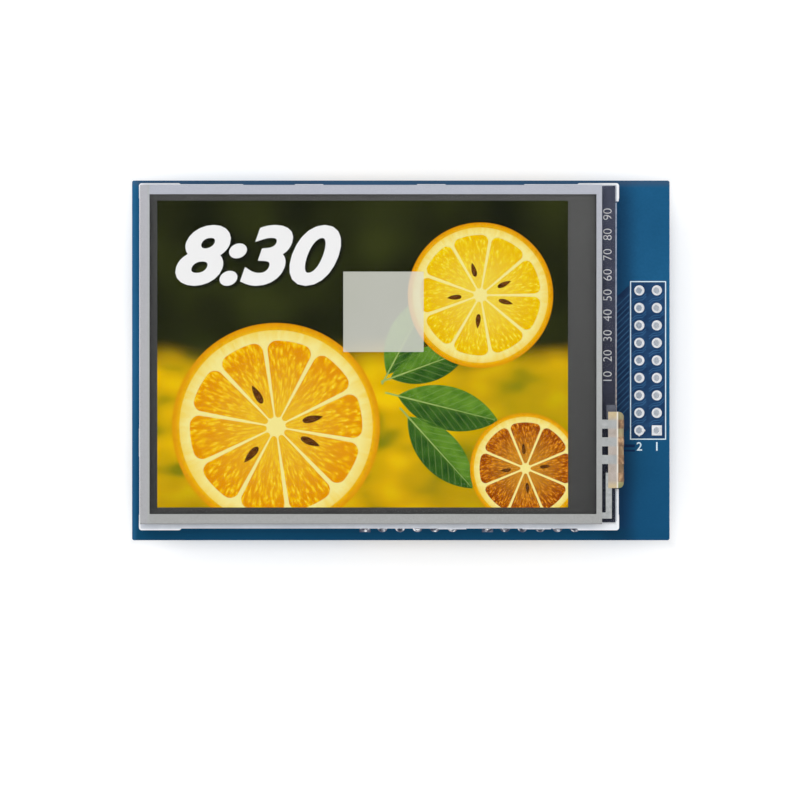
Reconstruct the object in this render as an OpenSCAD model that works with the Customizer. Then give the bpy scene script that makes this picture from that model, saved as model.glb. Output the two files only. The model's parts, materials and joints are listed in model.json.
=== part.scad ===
// Colour TFT display module with a resistive touch panel, on a circuit board that plugs in from above.
// The origin is below the middle of the board, at the tips of its header pins. +Z leaves the screen.

/* [Circuit board] */
// Length of the board, along X
board_l = 78; // [77.2:0.1:84]
// Width of the board, along Y
board_w = 52.2; // [51.2:0.1:56]
// Thickness of the board
board_t = 1.6; // [1:0.1:2.4]
// Radius of the board's corners
board_corner_r = 0.3; // [0.1:0.1:2]
// Thickness of the pads and of the printed line
pad_t = 0.04; // [0.02:0.01:0.08]
// Wall of the copper barrel in a plated hole
plating_t = 0.05; // [0.03:0.01:0.1]

/* [Pin headers] */
// Distance from pin to pin
pitch = 2.54; // [2.5:0.01:2.58]
// From the board's long edge to the nearer row of pins
row_edge = 1.97; // [1.6:0.01:2.4]
// From the board's right edge to the last pin of each row
row_inset = 13.72; // [12:0.02:15]
// Pins in each digital header
digital_pins = 8; // [4:1:8]
// Pins in the power header and in the analog header
analog_pins = 6; // [3:1:6]
// Step from one digital header's last pin to the other's first pin
digital_gap = 4.064; // [3.6:0.002:5.08]
// Step from the power header's last pin to the analog header's first pin
analog_gap = 5.08; // [3.6:0.02:6]
// Width of a square pin
pin_w = 0.64; // [0.5:0.02:0.7]
// Free length of a pin below the plastic
pin_down = 6; // [4:0.1:9]
// Length of a pin above the board
pin_up = 0.6; // [0.45:0.05:0.75]
// Height of the pointed end of a pin
pin_point_h = 0.4; // [0.1:0.1:0.4]
// Width of the flat at the end of a pin
pin_flat_w = 0.3; // [0.1:0.05:0.4]
// Height of the header plastic
header_h = 2.54; // [1.5:0.02:3]
// Width of the header plastic
header_w = 2.5; // [2:0.05:2.8]
// Chamfer between neighbouring cells of the header plastic
header_notch = 0.4; // [0.2:0.05:0.6]
// Height of a solder fillet, and how far it spreads
solder_h = 0.25; // [0.2:0.05:0.35]

/* [Expansion holes] */
// Pairs of holes
expansion_rows = 9; // [2:1:9]
// From the board's right edge to the middle of the two columns
expansion_inset = 3.12; // [3:0.01:3.3]
// Radius of a plated hole
expansion_hole_r = 0.48; // [0.4:0.01:0.6]
// Radius of the pad round a hole
expansion_pad_r = 0.73; // [0.7:0.01:0.9]
// Width of the printed line round the block
print_line_w = 0.15; // [0.1:0.05:0.3]

/* [Display frame] */
// From the board's left edge to the moulded frame
frame_left = 1.25; // [0.5:0.05:2]
// From the board's right edge to the frame
frame_right = 7.55; // [7.4:0.05:9]
// From the board's top edge to the frame
frame_top = 0.8; // [0.5:0.05:1.5]
// From the board's bottom edge to the frame
frame_bottom = 1.8; // [0.6:0.05:2.4]
// Side wall of the frame
frame_wall = 0.9; // [0.6:0.05:1]
// End wall beside the glass ledge
frame_end_wall = 1.1; // [0.95:0.05:1.3]
// Width of the step that carries the glass
frame_step = 0.8; // [0.6:0.05:1]
// Radius of the frame's corners
frame_corner_r = 0.4; // [0.2:0.1:1]
// Length of each corner pad, along X
corner_pad_l = 6; // [3:0.5:8]
// Length of each corner pad, along Y
corner_pad_w = 2; // [1:0.5:4]
// How far the corner pads stand out from the long edges
pad_proud = 0.25; // [0.15:0.05:0.3]
// How far the corner pads stand out from the short edges
pad_side_proud = 0.05; // [0.05:0.05:0.15]
// Length of the low rib that runs on from the upper left corner
rib_left = 14.95; // [8:0.05:18]
// Length of the low rib that runs on from the upper right corner
rib_right = 13.6; // [8:0.05:18]
// Length of a snap tab
tab_l = 4.1; // [2:0.1:5]
// How far ribs and snap tabs stand out
tab_proud = 0.1; // [0.05:0.05:0.15]
// From the frame's left edge to the middle of the first snap tab on its top edge
top_tab_left = 24.5; // [22:0.1:30]
// From the frame's right edge to the middle of the other snap tab on its top edge
top_tab_right = 27.05; // [22:0.05:30]
// From the frame's right edge to the middle of each snap tab on its bottom edge
bottom_tabs = [11.8, 24.05]; // [10:0.05:30]
// From the frame's bottom edge to the middle of the snap tab on its left edge
side_tab = 12.4; // [6:0.1:20]
// Thickness of the foam tape that holds the frame on the board
tape_t = 1; // [0.85:0.05:1.4]
// Width of a strip of foam tape
tape_w = 6; // [3:0.5:8]
// From a row of pins to the end of a strip of foam tape
tape_end = 3.5; // [1.5:0.1:8]
// From the end of the frame, or the foot of the flex, to the nearest strip of foam tape
tape_margin = 0.5; // [0.2:0.1:2]

/* [Backlight] */
// Thickness of the reflector, the diffuser and each prism sheet
sheet_t = 0.1; // [0.06:0.01:0.15]
// Thickness of the light guide
guide_t = 0.7; // [0.7:0.05:1]
// Length of the bay for the lamps
lamp_bay_l = 2.5; // [2:0.1:3]
// Number of lamps
lamp_count = 6; // [3:1:8]
// Length of a lamp, along Y
lamp_l = 3; // [2:0.1:3.8]
// Depth of a lamp, along X
lamp_w = 1; // [0.7:0.1:1.4]
// Height of a lamp
lamp_h = 0.6; // [0.4:0.05:0.65]
// Thickness of the tape round the rim
rim_tape_t = 0.06; // [0.04:0.01:0.1]

/* [Display glass] */
// Thickness of each sheet of display glass
glass_t = 0.5; // [0.3:0.05:0.7]
// Thickness of the cell between the two sheets
cell_t = 0.05; // [0.03:0.01:0.08]
// Thickness of a polarizer
polarizer_t = 0.15; // [0.1:0.01:0.2]
// Width of the ledge that carries the driver chip
ledge_w = 2; // [1.9:0.05:2.4]
// From the glass's left edge to the picture
picture_left = 1.6; // [1.4:0.05:2.6]
// From the glass's right edge to the picture
picture_right = 6.12; // [5:0.01:8]
// From the glass's top edge to the picture
picture_top = 1.28; // [1.25:0.01:2]
// From the glass's bottom edge to the picture
picture_bottom = 2.04; // [1.9:0.01:3]
// How far the rim tape's window and the rear polarizer run past the picture
rim_overlap = 0.5; // [0.3:0.05:0.6]
// Length of the driver chip
driver_l = 17; // [12:0.5:20]
// Width of the driver chip
driver_w = 0.8; // [0.6:0.05:0.9]
// Height of the driver chip
driver_h = 0.3; // [0.2:0.05:0.4]

/* [Display flex] */
// From the frame's top edge to the recess for the flex
recess_top = 2.35; // [2:0.05:6]
// From the frame's bottom edge to the recess for the flex
recess_bottom = 5.7; // [4:0.05:8]
// Thickness of the flex
flex_t = 0.12; // [0.08:0.01:0.16]
// How much of the flex is bonded to the ledge
flex_bond_w = 0.9; // [0.5:0.05:0.95]
// Inner radius of the flex's fold
fold_r = 0.25; // [0.15:0.05:0.4]
// Depth of the recess in the frame's end wall
flex_recess = 0.65; // [0.6:0.05:0.7]
// Gap between the end wall and the folded flex
fold_gap = 0.3; // [0.25:0.05:0.45]
// Reach of the flex under the frame, from the fold to its bend down
flex_reach = 5.4; // [4:0.1:8]
// How much the flex narrows on each side before its foot
flex_shoulder = 3.5; // [1:0.1:5]
// Length of the soldered foot
flex_foot_l = 3; // [2:0.1:4]
// Distance between soldered pads of the flex
foot_pitch = 0.8; // [0.5:0.05:1]
// Width of a soldered pad of the flex
foot_pad_w = 0.4; // [0.2:0.05:0.45]

/* [Touch panel] */
// Thickness of the touch glass
touch_glass_t = 0.7; // [0.5:0.05:1.1]
// Thickness of the bond between glass and film, and of the tail
touch_bond_t = 0.1; // [0.05:0.01:0.15]
// Thickness of the touch film
touch_film_t = 0.18; // [0.1:0.01:0.25]
// Thickness of the gasket below the glass
gasket_t = 0.2; // [0.15:0.05:0.5]
// From the panel's bottom edge to the gasket
gasket_bottom = 0.25; // [0.1:0.05:0.4]
// Frame that shows to the left of the touch panel
touch_left = 0.19; // [0.1:0.01:0.4]
// Frame that shows to the right of it
touch_right = 0.4; // [0.3:0.05:0.8]
// Frame that shows above it
touch_top = 0.05; // [0.05:0.01:0.4]
// Frame that shows below it
touch_bottom = 0.65; // [0.4:0.05:0.9]
// Width of the printed border
border_w = 1.34; // [1.3:0.01:1.6]
// Width of the border along the bottom edge
border_bottom = 1.46; // [1.3:0.01:1.6]
// Width of the border's strip beside the ledge
border_strip_w = 0.81; // [0.7:0.01:1.2]
// From the panel's right edge to that strip
border_right = 2.05; // [2:0.05:2.2]
// Distance between the silver traces
trace_pitch = 2.55; // [2.2:0.05:2.6]
// Width of a silver trace
trace_w = 1.3; // [1:0.05:1.6]
// How far the middle of the traces lies below the middle of the tail
trace_drop = 0.1; // [0:0.05:0.2]
// Width of the long return trace
return_trace_w = 0.88; // [0.6:0.01:0.9]
// From the panel's bottom edge to the return trace
return_margin = 0.81; // [0.5:0.01:0.9]
// How far the return trace stands out from the end of the tail
return_step = 0.35; // [0.2:0.05:0.4]

/* [Touch tail] */
// Width of the tail
tail_w = 11; // [10:0.1:12]
// From the panel's bottom edge to the tail
tail_bottom = 5.2; // [4.9:0.05:6]
// How much of the tail lies under the film
tail_overlap = 1.17; // [1:0.01:1.3]
// How far the folded tail stands out from the film's edge
tail_proud = 1.12; // [1.05:0.01:1.3]
// Inner radius of the tail's folds
tail_r = 0.7; // [0.3:0.05:0.8]
// Radius of the tail's outer corners, seen from above
tail_corner_r = 0.8; // [0.3:0.1:0.9]
// Width of the loose corner of bonding film above the tail
patch_w = 1; // [0.6:0.1:1.4]
// How far that corner reaches past the end of the tail
patch_side = 0.24; // [0.1:0.02:0.3]
// Length of the tail below the frame
tail_reach = 3.6; // [2:0.1:3.8]
// Thickness of the tail's copper
copper_t = 0.03; // [0.02:0.01:0.05]

/* [Card socket] */
// Depth of the card socket, along X
socket_l = 14.5; // [14:0.1:16]
// Width of the card socket, along Y
socket_w = 14.7; // [14:0.1:16]
// Height of the card socket
socket_h = 1.9; // [1.7:0.05:2.4]
// From the board's left edge to the socket's mouth
socket_inset = 0.5; // [0:0.1:2]
// Middle of the socket below the middle of the board
socket_offset = 4.7; // [2:0.1:6]
// Sheet metal of the socket's shell
shell_t = 0.2; // [0.1:0.02:0.25]
// Width of the card
card_w = 11; // [11:0.05:11.2]
// Clearance on each side of the card
card_play = 0.1; // [0.05:0.05:0.3]
// Thickness of the socket's floor
socket_floor_t = 0.45; // [0.3:0.05:0.5]
// Distance between the socket's contacts
contact_pitch = 1.1; // [1:0.05:1.2]
// Width of a contact
contact_w = 0.5; // [0.3:0.05:0.6]

/* [Parts below the board] */
// Length of a buffer chip
chip_l = 6.5; // [6.4:0.1:7.5]
// Width of a buffer chip's body
chip_w = 4.4; // [4:0.1:5]
// Height of a buffer chip's body
chip_h = 0.9; // [0.7:0.05:1.2]
// Gap below a chip's body
chip_standoff = 0.1; // [0.05:0.01:0.15]
// Leads on each side of a buffer chip
chip_leads = 10; // [7:1:10]
// Distance between a buffer chip's leads
chip_pitch = 0.65; // [0.6:0.01:0.65]
// Distance between the two buffer chips
chip_spacing = 13; // [11:0.5:14]
// From the digital pins to the middle of the buffer chips
chip_row_gap = 15.1; // [14:0.1:16]
// Width of a buffer chip's lead
chip_lead_w = 0.25; // [0.15:0.05:0.35]
// How far a buffer chip's lead stands out
chip_lead_reach = 1; // [0.8:0.1:1.2]
// Length of the voltage regulator
regulator_l = 6.5; // [6:0.1:7]
// Width of the regulator's body
regulator_w = 3.5; // [3.2:0.1:3.8]
// Height of the regulator's body
regulator_h = 1.6; // [1.4:0.05:1.8]
// Distance between the regulator's three leads
regulator_pitch = 2.3; // [2:0.05:2.5]
// Width of one of the three leads
regulator_lead_w = 0.7; // [0.5:0.05:0.9]
// Width of the tab on the other side
regulator_tab_w = 3; // [2.5:0.1:3.5]
// How far the regulator's leads and tab stand out
regulator_reach = 1.75; // [1.5:0.05:2]
// Length of the transistor
transistor_l = 2.9; // [2.7:0.1:3.1]
// Width of the transistor's body
transistor_w = 1.3; // [1.2:0.05:1.5]
// Height of the transistor's body
transistor_h = 1; // [0.8:0.05:1.1]
// Distance between the transistor's two leads on one side
transistor_pitch = 1.9; // [1.7:0.05:2]
// Width of a transistor's lead
transistor_lead_w = 0.4; // [0.3:0.05:0.5]
// How far the transistor's leads stand out
transistor_reach = 0.6; // [0.5:0.05:0.8]
// Thickness of all the leads
lead_t = 0.15; // [0.1:0.01:0.2]
// Length of a chip capacitor or chip resistor
smd_l = 1.6; // [1:0.1:1.8]
// Width of a chip capacitor or chip resistor
smd_w = 0.8; // [0.5:0.05:0.9]
// Height of a chip capacitor
capacitor_h = 0.8; // [0.5:0.05:0.9]
// Height of a chip resistor
resistor_h = 0.45; // [0.3:0.05:0.5]
// Length of a tantalum capacitor
tantalum_l = 3.2; // [3:0.1:3.5]
// Width of a tantalum capacitor
tantalum_w = 1.6; // [1.4:0.1:2]
// Height of a tantalum capacitor
tantalum_h = 1.6; // [1.2:0.1:1.8]
// Length of an end cap on a chip capacitor or chip resistor
smd_end_l = 0.35; // [0.2:0.05:0.4]
// Distance between neighbours in a row or column of small parts
smd_step = 2.5; // [2.1:0.1:3]
// Free space beside the card socket, the regulator and the chips
part_gap = 2.2; // [1.8:0.1:2.5]

/* [Hidden] */
$fn = 48;

// Small clearances
fit = 0.1;          // round a part laid in a pocket
cut = 1;            // how far a cutting shape runs past what it cuts

// Heights, from the pin tips up
z_board = pin_down + header_h + pad_t;
z_board_top = z_board + board_t;
z_print_top = z_board_top + pad_t;
z_land = z_board_top + 2 * pad_t;
pin_top = z_board_top + pin_up;
z_display = z_board_top + tape_t;
z_guide = z_display + sheet_t;
z_diffuser = z_guide + guide_t;
z_prism_lower = z_diffuser + sheet_t;
z_prism_upper = z_prism_lower + sheet_t;
z_step = z_prism_upper + sheet_t;
z_rear_polarizer = z_step + rim_tape_t;
z_array = z_rear_polarizer + polarizer_t;
z_cell = z_array + glass_t;
z_filter = z_cell + cell_t;
z_front_polarizer = z_filter + glass_t;
z_frame_top = z_front_polarizer + polarizer_t;
z_touch = z_frame_top + gasket_t;
z_bond = z_touch + touch_glass_t;
z_film = z_bond + touch_bond_t;

// Places in plan. A box is [lowest corner, highest corner].
function grow(box, d) = [box[0] - [d, d], box[1] + [d, d]];
function middle(box) = (box[0] + box[1]) / 2;

board = [[-board_l, -board_w] / 2, [board_l, board_w] / 2];
frame = [board[0] + [frame_left, frame_bottom], board[1] - [frame_right, frame_top]];
pocket = [frame[0] + [frame_wall, frame_wall], frame[1] - [frame_end_wall, frame_wall]];
well = grow(pocket, -frame_step);
sheets = [well[0] + [fit, fit], well[1] - [lamp_bay_l, fit]];
array = grow(pocket, -fit);
filter = [array[0], array[1] - [ledge_w, 0]];
picture = [array[0] + [picture_left, picture_bottom], array[1] - [picture_right, picture_top]];
rim_window = grow(picture, rim_overlap);
polarizer = grow(picture, 2 * rim_overlap);

touch = [frame[0] + [touch_left, touch_bottom], frame[1] - [touch_right, touch_top]];
border_end = touch[1].x - border_right;
window = [touch[0] + [border_w, border_bottom], [border_end - border_strip_w, touch[1].y - border_w]];

// Ears that key the backlight sheets in the well, on its upper edge
ear = [4, 0.5];
ear_xs = [picture[0].x + 3 * ear.x, picture[1].x - 3 * ear.x];

// The picture's fields of colour are raised by this much on each other.
// Each fruit slice: middle, radius, number of wedges, turn. Each leaf: stalk end, direction, length
field_h = 0.005;
slices = [[[-12.5, -10.5], 15, 10, 8], [[17, 8.5], 10.5, 9, 20], [[23.5, -16.5], 8, 8, 0]];
leaves = [[[3.5, -3], 62, 13], [[4, -3.5], 20, 12], [[6.5, -9], -48, 14], [[5, -6], -14, 15]];

recess_x = frame[1].x - flex_recess;
recess_y = [frame[0].y + recess_bottom, frame[1].y - recess_top];
flex_y = (recess_y[0] + recess_y[1]) / 2;
flex_w = recess_y[1] - recess_y[0] - 4 * fit;
flex_foot_w = flex_w - 2 * flex_shoulder;
fold_x = recess_x + fold_gap - fold_r;
bend_x = fold_x - flex_reach;
bend_r = (z_display - z_land) / 2 - flex_t;
foot_x = bend_x - 2 * bend_r - flex_t;

tail_y = touch[0].y + tail_bottom + tail_w / 2;
tail_end = touch[1].x - tail_overlap;
tail_fold_x = touch[1].x + tail_proud - touch_bond_t - tail_r;
tail_low_end = tail_fold_x - tail_reach;

expansion_x = board_l / 2 - expansion_inset;
expansion_sites = [for (sx = [-1, 1], i = [0:expansion_rows - 1])
    [expansion_x + sx * pitch / 2, (i - (expansion_rows - 1) / 2) * pitch]];

// Headers: how far a row of pins reaches from its middle, and where each header's middle is
digital_reach = (digital_pins - 1) * pitch / 2;
analog_reach = (analog_pins - 1) * pitch / 2;
row_end = board_l / 2 - row_inset;
row_y = board_w / 2 - row_edge;
digital_low = [row_end - digital_reach, row_y];
digital_high = [row_end - 3 * digital_reach - digital_gap, row_y];
analog = [row_end - analog_reach, -row_y];
power = [row_end - 3 * analog_reach - analog_gap, -row_y];
function pin_sites(at, count) = [for (i = [0:count - 1]) at + [(i - (count - 1) / 2) * pitch, 0]];
header_sites = concat(
    pin_sites(power, analog_pins), pin_sites(analog, analog_pins),
    pin_sites(digital_low, digital_pins), pin_sites(digital_high, digital_pins));
pin_corner_r = pin_w / sqrt(2);
header_hole_r = pin_corner_r + 0.05;
solder_top_r = header_hole_r;
solder_r = solder_top_r + solder_h;
header_pad_r = solder_r + 0.05;
first_pins = [pin_sites(power, analog_pins)[0], pin_sites(analog, analog_pins)[0]];
function is_first_pin(site) = site == first_pins[0] || site == first_pins[1];

// Below the board
socket = [socket_inset - board_l / 2, -socket_offset];
contact_count = 8;
socket_rear = socket.x + socket_l;
chip_y = row_y - chip_row_gap;
chips = [for (i = [-1, 1]) [row_end - 2 * digital_reach - digital_gap + i * chip_spacing / 2, chip_y]];
chip_edge = chip_w / 2 + chip_lead_reach;
regulator_at = [socket_rear + regulator_l / 2 + 2 * part_gap, -row_y / 2];
transistor_at = [row_end - part_gap, -row_y / 3];
tantalum_x = regulator_at.x + regulator_l / 2 + tantalum_l / 2 + part_gap;
tantalums = [for (i = [-1, 1]) [tantalum_x, regulator_at.y + i * smd_step]];
// Each small part: X, Y and the angle it is turned by
capacitors = concat(
    [for (at = chips) [at.x, at.y - chip_edge - part_gap / 2, 0]],
    [for (i = [0:2]) [row_end + part_gap / 2, i * smd_step, 0]],
    [for (i = [0:1]) [socket_rear + part_gap + i * smd_step, socket.y + socket_w / 2 + part_gap, 90]]);
resistors = concat(
    [for (i = [-2:2]) [socket_rear + part_gap + smd_l / 2, socket.y + i * smd_step, 0]],
    [for (at = chips, i = [-1.5:1.5]) [at.x + i * smd_step, at.y + chip_edge + part_gap, 90]],
    [for (side = [-1, 1]) [transistor_at.x, transistor_at.y + side * part_gap, 0]]);

// Shapes used by more than one part

module block(box, z0, z1) {
    translate([box[0].x, box[0].y, z0]) cube([box[1].x - box[0].x, box[1].y - box[0].y, z1 - z0]);
}

module rounded_rect(size, r) {
    square([size.x - 2 * r, size.y], center = true);
    square([size.x, size.y - 2 * r], center = true);
    for (sx = [-1, 1], sy = [-1, 1]) translate([sx * (size.x / 2 - r), sy * (size.y / 2 - r)]) circle(r);
}

// Flat ring that fills the space between an outer and an inner box
module ring(outer, inner, z0, z1) {
    difference() {
        block(outer, z0, z1);
        block(inner, z0 - cut, z1 + cut);
    }
}

// Quarter of a bent strip: inner radius r, thickness t, in the quadrant that starts at the angle given
module bend(r, t, start) {
    rotate(start) intersection() {
        difference() {
            circle(r + t);
            circle(r);
        }
        square(r + t);
    }
}

// Turns an outline drawn in X and Z into a solid of width w, centred at y
module across(w, y = 0) {
    translate([0, y, 0]) rotate([90, 0, 0]) linear_extrude(w, center = true) children();
}

// Solid that both side views agree on: an outline seen from the front and one seen from the side
module two_views(l, w) {
    intersection() {
        rotate([90, 0, 0]) linear_extrude(w, center = true) children(0);
        rotate([90, 0, 90]) linear_extrude(l, center = true) children(1);
    }
}

// Stands a part that is drawn on z = 0 upside down below the board
module below(at, turn = 0) {
    translate([at.x, at.y, z_board]) mirror([0, 0, 1]) rotate(turn) children();
}

// Circuit board

module plated_hole(hole_r, pad_r, with_square_pad) {
    difference() {
        union() {
            translate([0, 0, z_board]) cylinder(r = hole_r + plating_t, h = board_t);
            for (z = [z_board - pad_t, z_board_top]) translate([0, 0, z]) linear_extrude(pad_t) {
                if (with_square_pad) square(2 * pad_r, center = true);
                else circle(pad_r);
            }
        }
        translate([0, 0, z_board - cut]) cylinder(r = hole_r, h = board_t + 2 * cut);
    }
}

module circuit_board() {
    color("steelblue") translate([0, 0, z_board]) linear_extrude(board_t) difference() {
        rounded_rect([board_l, board_w], board_corner_r);
        for (site = header_sites) translate(site) circle(header_hole_r + plating_t);
        for (site = expansion_sites) translate(site) circle(expansion_hole_r + plating_t);
    }
}

module board_expansion_pads() {
    color("silver") for (site = expansion_sites) translate(site)
        plated_hole(expansion_hole_r, expansion_pad_r, site == expansion_sites[expansion_rows]);
}

module expansion_outline() {
    block_size = [2 * pitch, expansion_rows * pitch];
    color("lightcyan") translate([expansion_x, 0, z_board_top]) linear_extrude(pad_t) difference() {
        square(block_size + [print_line_w, print_line_w], center = true);
        square(block_size - [print_line_w, print_line_w], center = true);
    }
}

module header_pads() {
    color("silver") for (site = header_sites) translate(site)
        plated_hole(header_hole_r, header_pad_r, is_first_pin(site));
}

// Solder that fills the plated hole and climbs the pin in a hollow fillet
module solder_joint() {
    difference() {
        union() {
            translate([0, 0, z_board - pad_t]) cylinder(r = header_hole_r, h = board_t + 2 * pad_t);
            translate([0, 0, z_print_top]) rotate_extrude() difference() {
                square([solder_r, solder_h]);
                translate([solder_r, solder_h]) circle(solder_h);
            }
        }
        translate([-pin_w / 2, -pin_w / 2, 0]) cube([pin_w, pin_w, pin_top + cut]);
    }
}

module header_solder() {
    color("gainsboro") for (site = header_sites) translate(site) solder_joint();
}

// Headers

module header_cell() {
    x = pitch / 2;
    y = header_w / 2;
    polygon([
        [-x, header_notch - y], [header_notch - x, -y], [x - header_notch, -y], [x, header_notch - y],
        [x, y - header_notch], [x - header_notch, y], [header_notch - x, y], [-x, y - header_notch]
    ]);
}

module header_base(at, count) {
    color("dimgray") translate([0, 0, pin_down]) linear_extrude(header_h) difference() {
        for (site = pin_sites(at, count)) translate(site) header_cell();
        for (site = pin_sites(at, count)) translate(site) square(pin_w, center = true);
    }
}

module pin_outline() {
    half = pin_w / 2;
    flat = pin_flat_w / 2;
    polygon([
        [-flat, 0], [flat, 0], [half, pin_point_h], [half, pin_top - pin_point_h],
        [flat, pin_top], [-flat, pin_top], [-half, pin_top - pin_point_h], [-half, pin_point_h]
    ]);
}

module header_pins(at, count) {
    color("gold") for (site = pin_sites(at, count)) translate(site) two_views(pin_w, pin_w) {
        pin_outline();
        pin_outline();
    }
}

// Display frame and tape

module foam_tape() {
    first_x = frame[0].x + tape_margin;
    last_x = foot_x - flex_foot_l - tape_margin - tape_w;
    y = row_y - tape_end;
    color("dimgray") for (x = [first_x, (first_x + last_x) / 2, last_x])
        block([[x, -y], [x + tape_w, y]], z_board_top, z_display);
}

// Outline of a sheet in the well, with its ears; the well itself is cut with gap 0
module sheet_outline(box, gap) {
    translate(box[0]) square(box[1] - box[0]);
    for (x = ear_xs) translate([x - ear.x / 2 + gap, box[1].y - cut])
        square([ear.x - 2 * gap, ear.y + cut]);
}

// Corner pads, the ribs beside the upper two, and snap tabs stand out from the frame's edges
module frame_outline() {
    size = frame[1] - frame[0];
    pad = [corner_pad_l, corner_pad_w];
    proud = [pad_side_proud, pad_proud];
    translate(middle(frame)) {
        rounded_rect(size, frame_corner_r);
        for (sx = [-1, 1], sy = [-1, 1]) translate([sx * (size.x - pad.x) / 2, sy * (size.y - pad.y) / 2])
            rounded_rect(pad + 2 * proud, frame_corner_r);
    }
    for (x = [frame[0].x + top_tab_left, frame[1].x - top_tab_right])
        edge_tab([x, frame[1].y - frame_wall / 2]);
    for (inset = bottom_tabs) edge_tab([frame[1].x - inset, frame[0].y + frame_wall / 2]);
    translate([frame[0].x + frame_wall / 2, frame[0].y + side_tab])
        square([frame_wall + 2 * pad_side_proud, tab_l], center = true);
    for (rib = [[frame[0].x + frame_corner_r, rib_left], [frame[1].x - rib_right, rib_right]])
        translate([rib[0], frame[1].y - frame_wall])
            square([rib[1] - frame_corner_r, frame_wall + tab_proud]);
}

module edge_tab(at) {
    translate(at) square([tab_l, frame_wall + 2 * tab_proud], center = true);
}

module backlight_frame() {
    recess_w = recess_y[1] - recess_y[0];
    color("whitesmoke") difference() {
        translate([0, 0, z_display]) linear_extrude(z_frame_top - z_display) frame_outline();
        block(pocket, z_step, z_frame_top + cut);
        translate([0, 0, z_display - cut])
            linear_extrude(z_step - z_display + 2 * cut) sheet_outline(well, 0);
        translate([recess_x, flex_y - recess_w / 2, z_display - cut])
            cube([flex_recess + cut, recess_w, z_frame_top - z_display + 2 * cut]);
        translate([pocket[1].x - cut, flex_y - recess_w / 2, z_cell])
            cube([frame_end_wall + 2 * cut, recess_w, z_frame_top - z_cell + cut]);
    }
}

// Backlight, from the bottom up

module sheet(z, t) {
    translate([0, 0, z]) linear_extrude(t) sheet_outline(sheets, fit);
}

module reflector_sheet() {
    color("white") sheet(z_display, sheet_t);
}

module light_guide() {
    color("aliceblue") sheet(z_guide, guide_t);
}

module diffuser_sheet() {
    color("white") sheet(z_diffuser, sheet_t);
}

module prism_sheet_lower() {
    color("lightgray") sheet(z_prism_lower, sheet_t);
}

module prism_sheet_upper() {
    color("lightgray") sheet(z_prism_upper, sheet_t);
}

module backlight_flex() {
    strip = [[sheets[1].x + fit, sheets[0].y], [well[1].x - fit, sheets[1].y]];
    color("goldenrod") block(strip, z_display, z_display + sheet_t);
}

// Side-firing lamps, each with a shallow window towards the light guide
module backlight_lamps() {
    lamp_step = (sheets[1].y - sheets[0].y) / lamp_count;
    lens_depth = 0.15;
    lens_rim = 0.12;
    color("ivory") for (i = [0:lamp_count - 1]) {
        y = sheets[0].y + (i + 0.5) * lamp_step - lamp_l / 2;
        translate([sheets[1].x + fit, y, z_guide]) difference() {
            cube([lamp_w, lamp_l, lamp_h]);
            translate([-cut, lens_rim, lens_rim])
                cube([cut + lens_depth, lamp_l - 2 * lens_rim, lamp_h - 2 * lens_rim]);
        }
    }
}

module rim_tape() {
    color("black") ring(array, rim_window, z_step, z_rear_polarizer);
}

// Display cell

module rear_polarizer() {
    color("darkslategray") block(polarizer, z_rear_polarizer, z_array);
}

module array_glass() {
    color("lightcyan", 0.4) block(array, z_array, z_cell);
}

module black_matrix() {
    color("black") ring(filter, picture, z_cell, z_filter);
}

module filter_glass() {
    color("lightcyan", 0.4) block(filter, z_filter, z_front_polarizer);
}

module front_polarizer() {
    color("dimgray", 0.4) block(grow(filter, -fit), z_front_polarizer, z_frame_top);
}

// The lit picture: cut fruit and leaves on a ground that runs from dark green to gold.
// The fields of colour are raised by a hair on the plate that carries them.

module slice_wedge(r, count) {
    half = 180 / count - 2;
    intersection() {
        difference() {
            circle(0.84 * r);
            circle(0.1 * r);
        }
        polygon([[0, 0], 1.2 * r * [cos(half), -sin(half)], 1.2 * r * [cos(half), sin(half)]]);
    }
}

module fruit_slice(r, count, turn) {
    color("orange") linear_extrude(field_h) circle(r);
    color("lemonchiffon") linear_extrude(2 * field_h) circle(0.92 * r);
    color("gold") for (i = [0:count - 1]) rotate(turn + 360 * i / count)
        linear_extrude(3 * field_h) slice_wedge(r, count);
}

module leaf(l) {
    r = 0.7 * l;
    offset_y = sqrt(r * r - l * l / 4);
    color("olivedrab") linear_extrude(field_h) intersection() {
        translate([l / 2, offset_y]) circle(r);
        translate([l / 2, -offset_y]) circle(r);
    }
}

module pixel_layer() {
    plate_t = cell_t - 3 * field_h;
    size = picture[1] - picture[0];
    translate([middle(picture).x, middle(picture).y, z_cell]) {
        color("darkolivegreen") translate([-size.x / 2, -size.y / 2]) cube([size.x, size.y, plate_t]);
        translate([0, 0, plate_t]) intersection() {
            translate([-size.x / 2, -size.y / 2, -plate_t / 2]) cube([size.x, size.y, cell_t]);
            union() {
                for (l = leaves) translate([l[0].x, l[0].y]) rotate(l[1]) leaf(l[2]);
                for (s = slices) translate([s[0].x, s[0].y]) fruit_slice(s[1], s[2], s[3]);
            }
        }
    }
}

// Ledge, driver chip and display flex

module driver_chip() {
    low = [filter[1].x + fit, flex_y - driver_l / 2];
    color("darkgray") block([low, low + [driver_w, driver_l]], z_cell, z_cell + driver_h);
}

module ledge_tape() {
    color("darkslateblue") block(
        [[filter[1].x + fit / 2, array[0].y], [pocket[1].x - fit / 2, array[1].y]],
        z_cell + driver_h, z_cell + driver_h + rim_tape_t);
}

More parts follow.
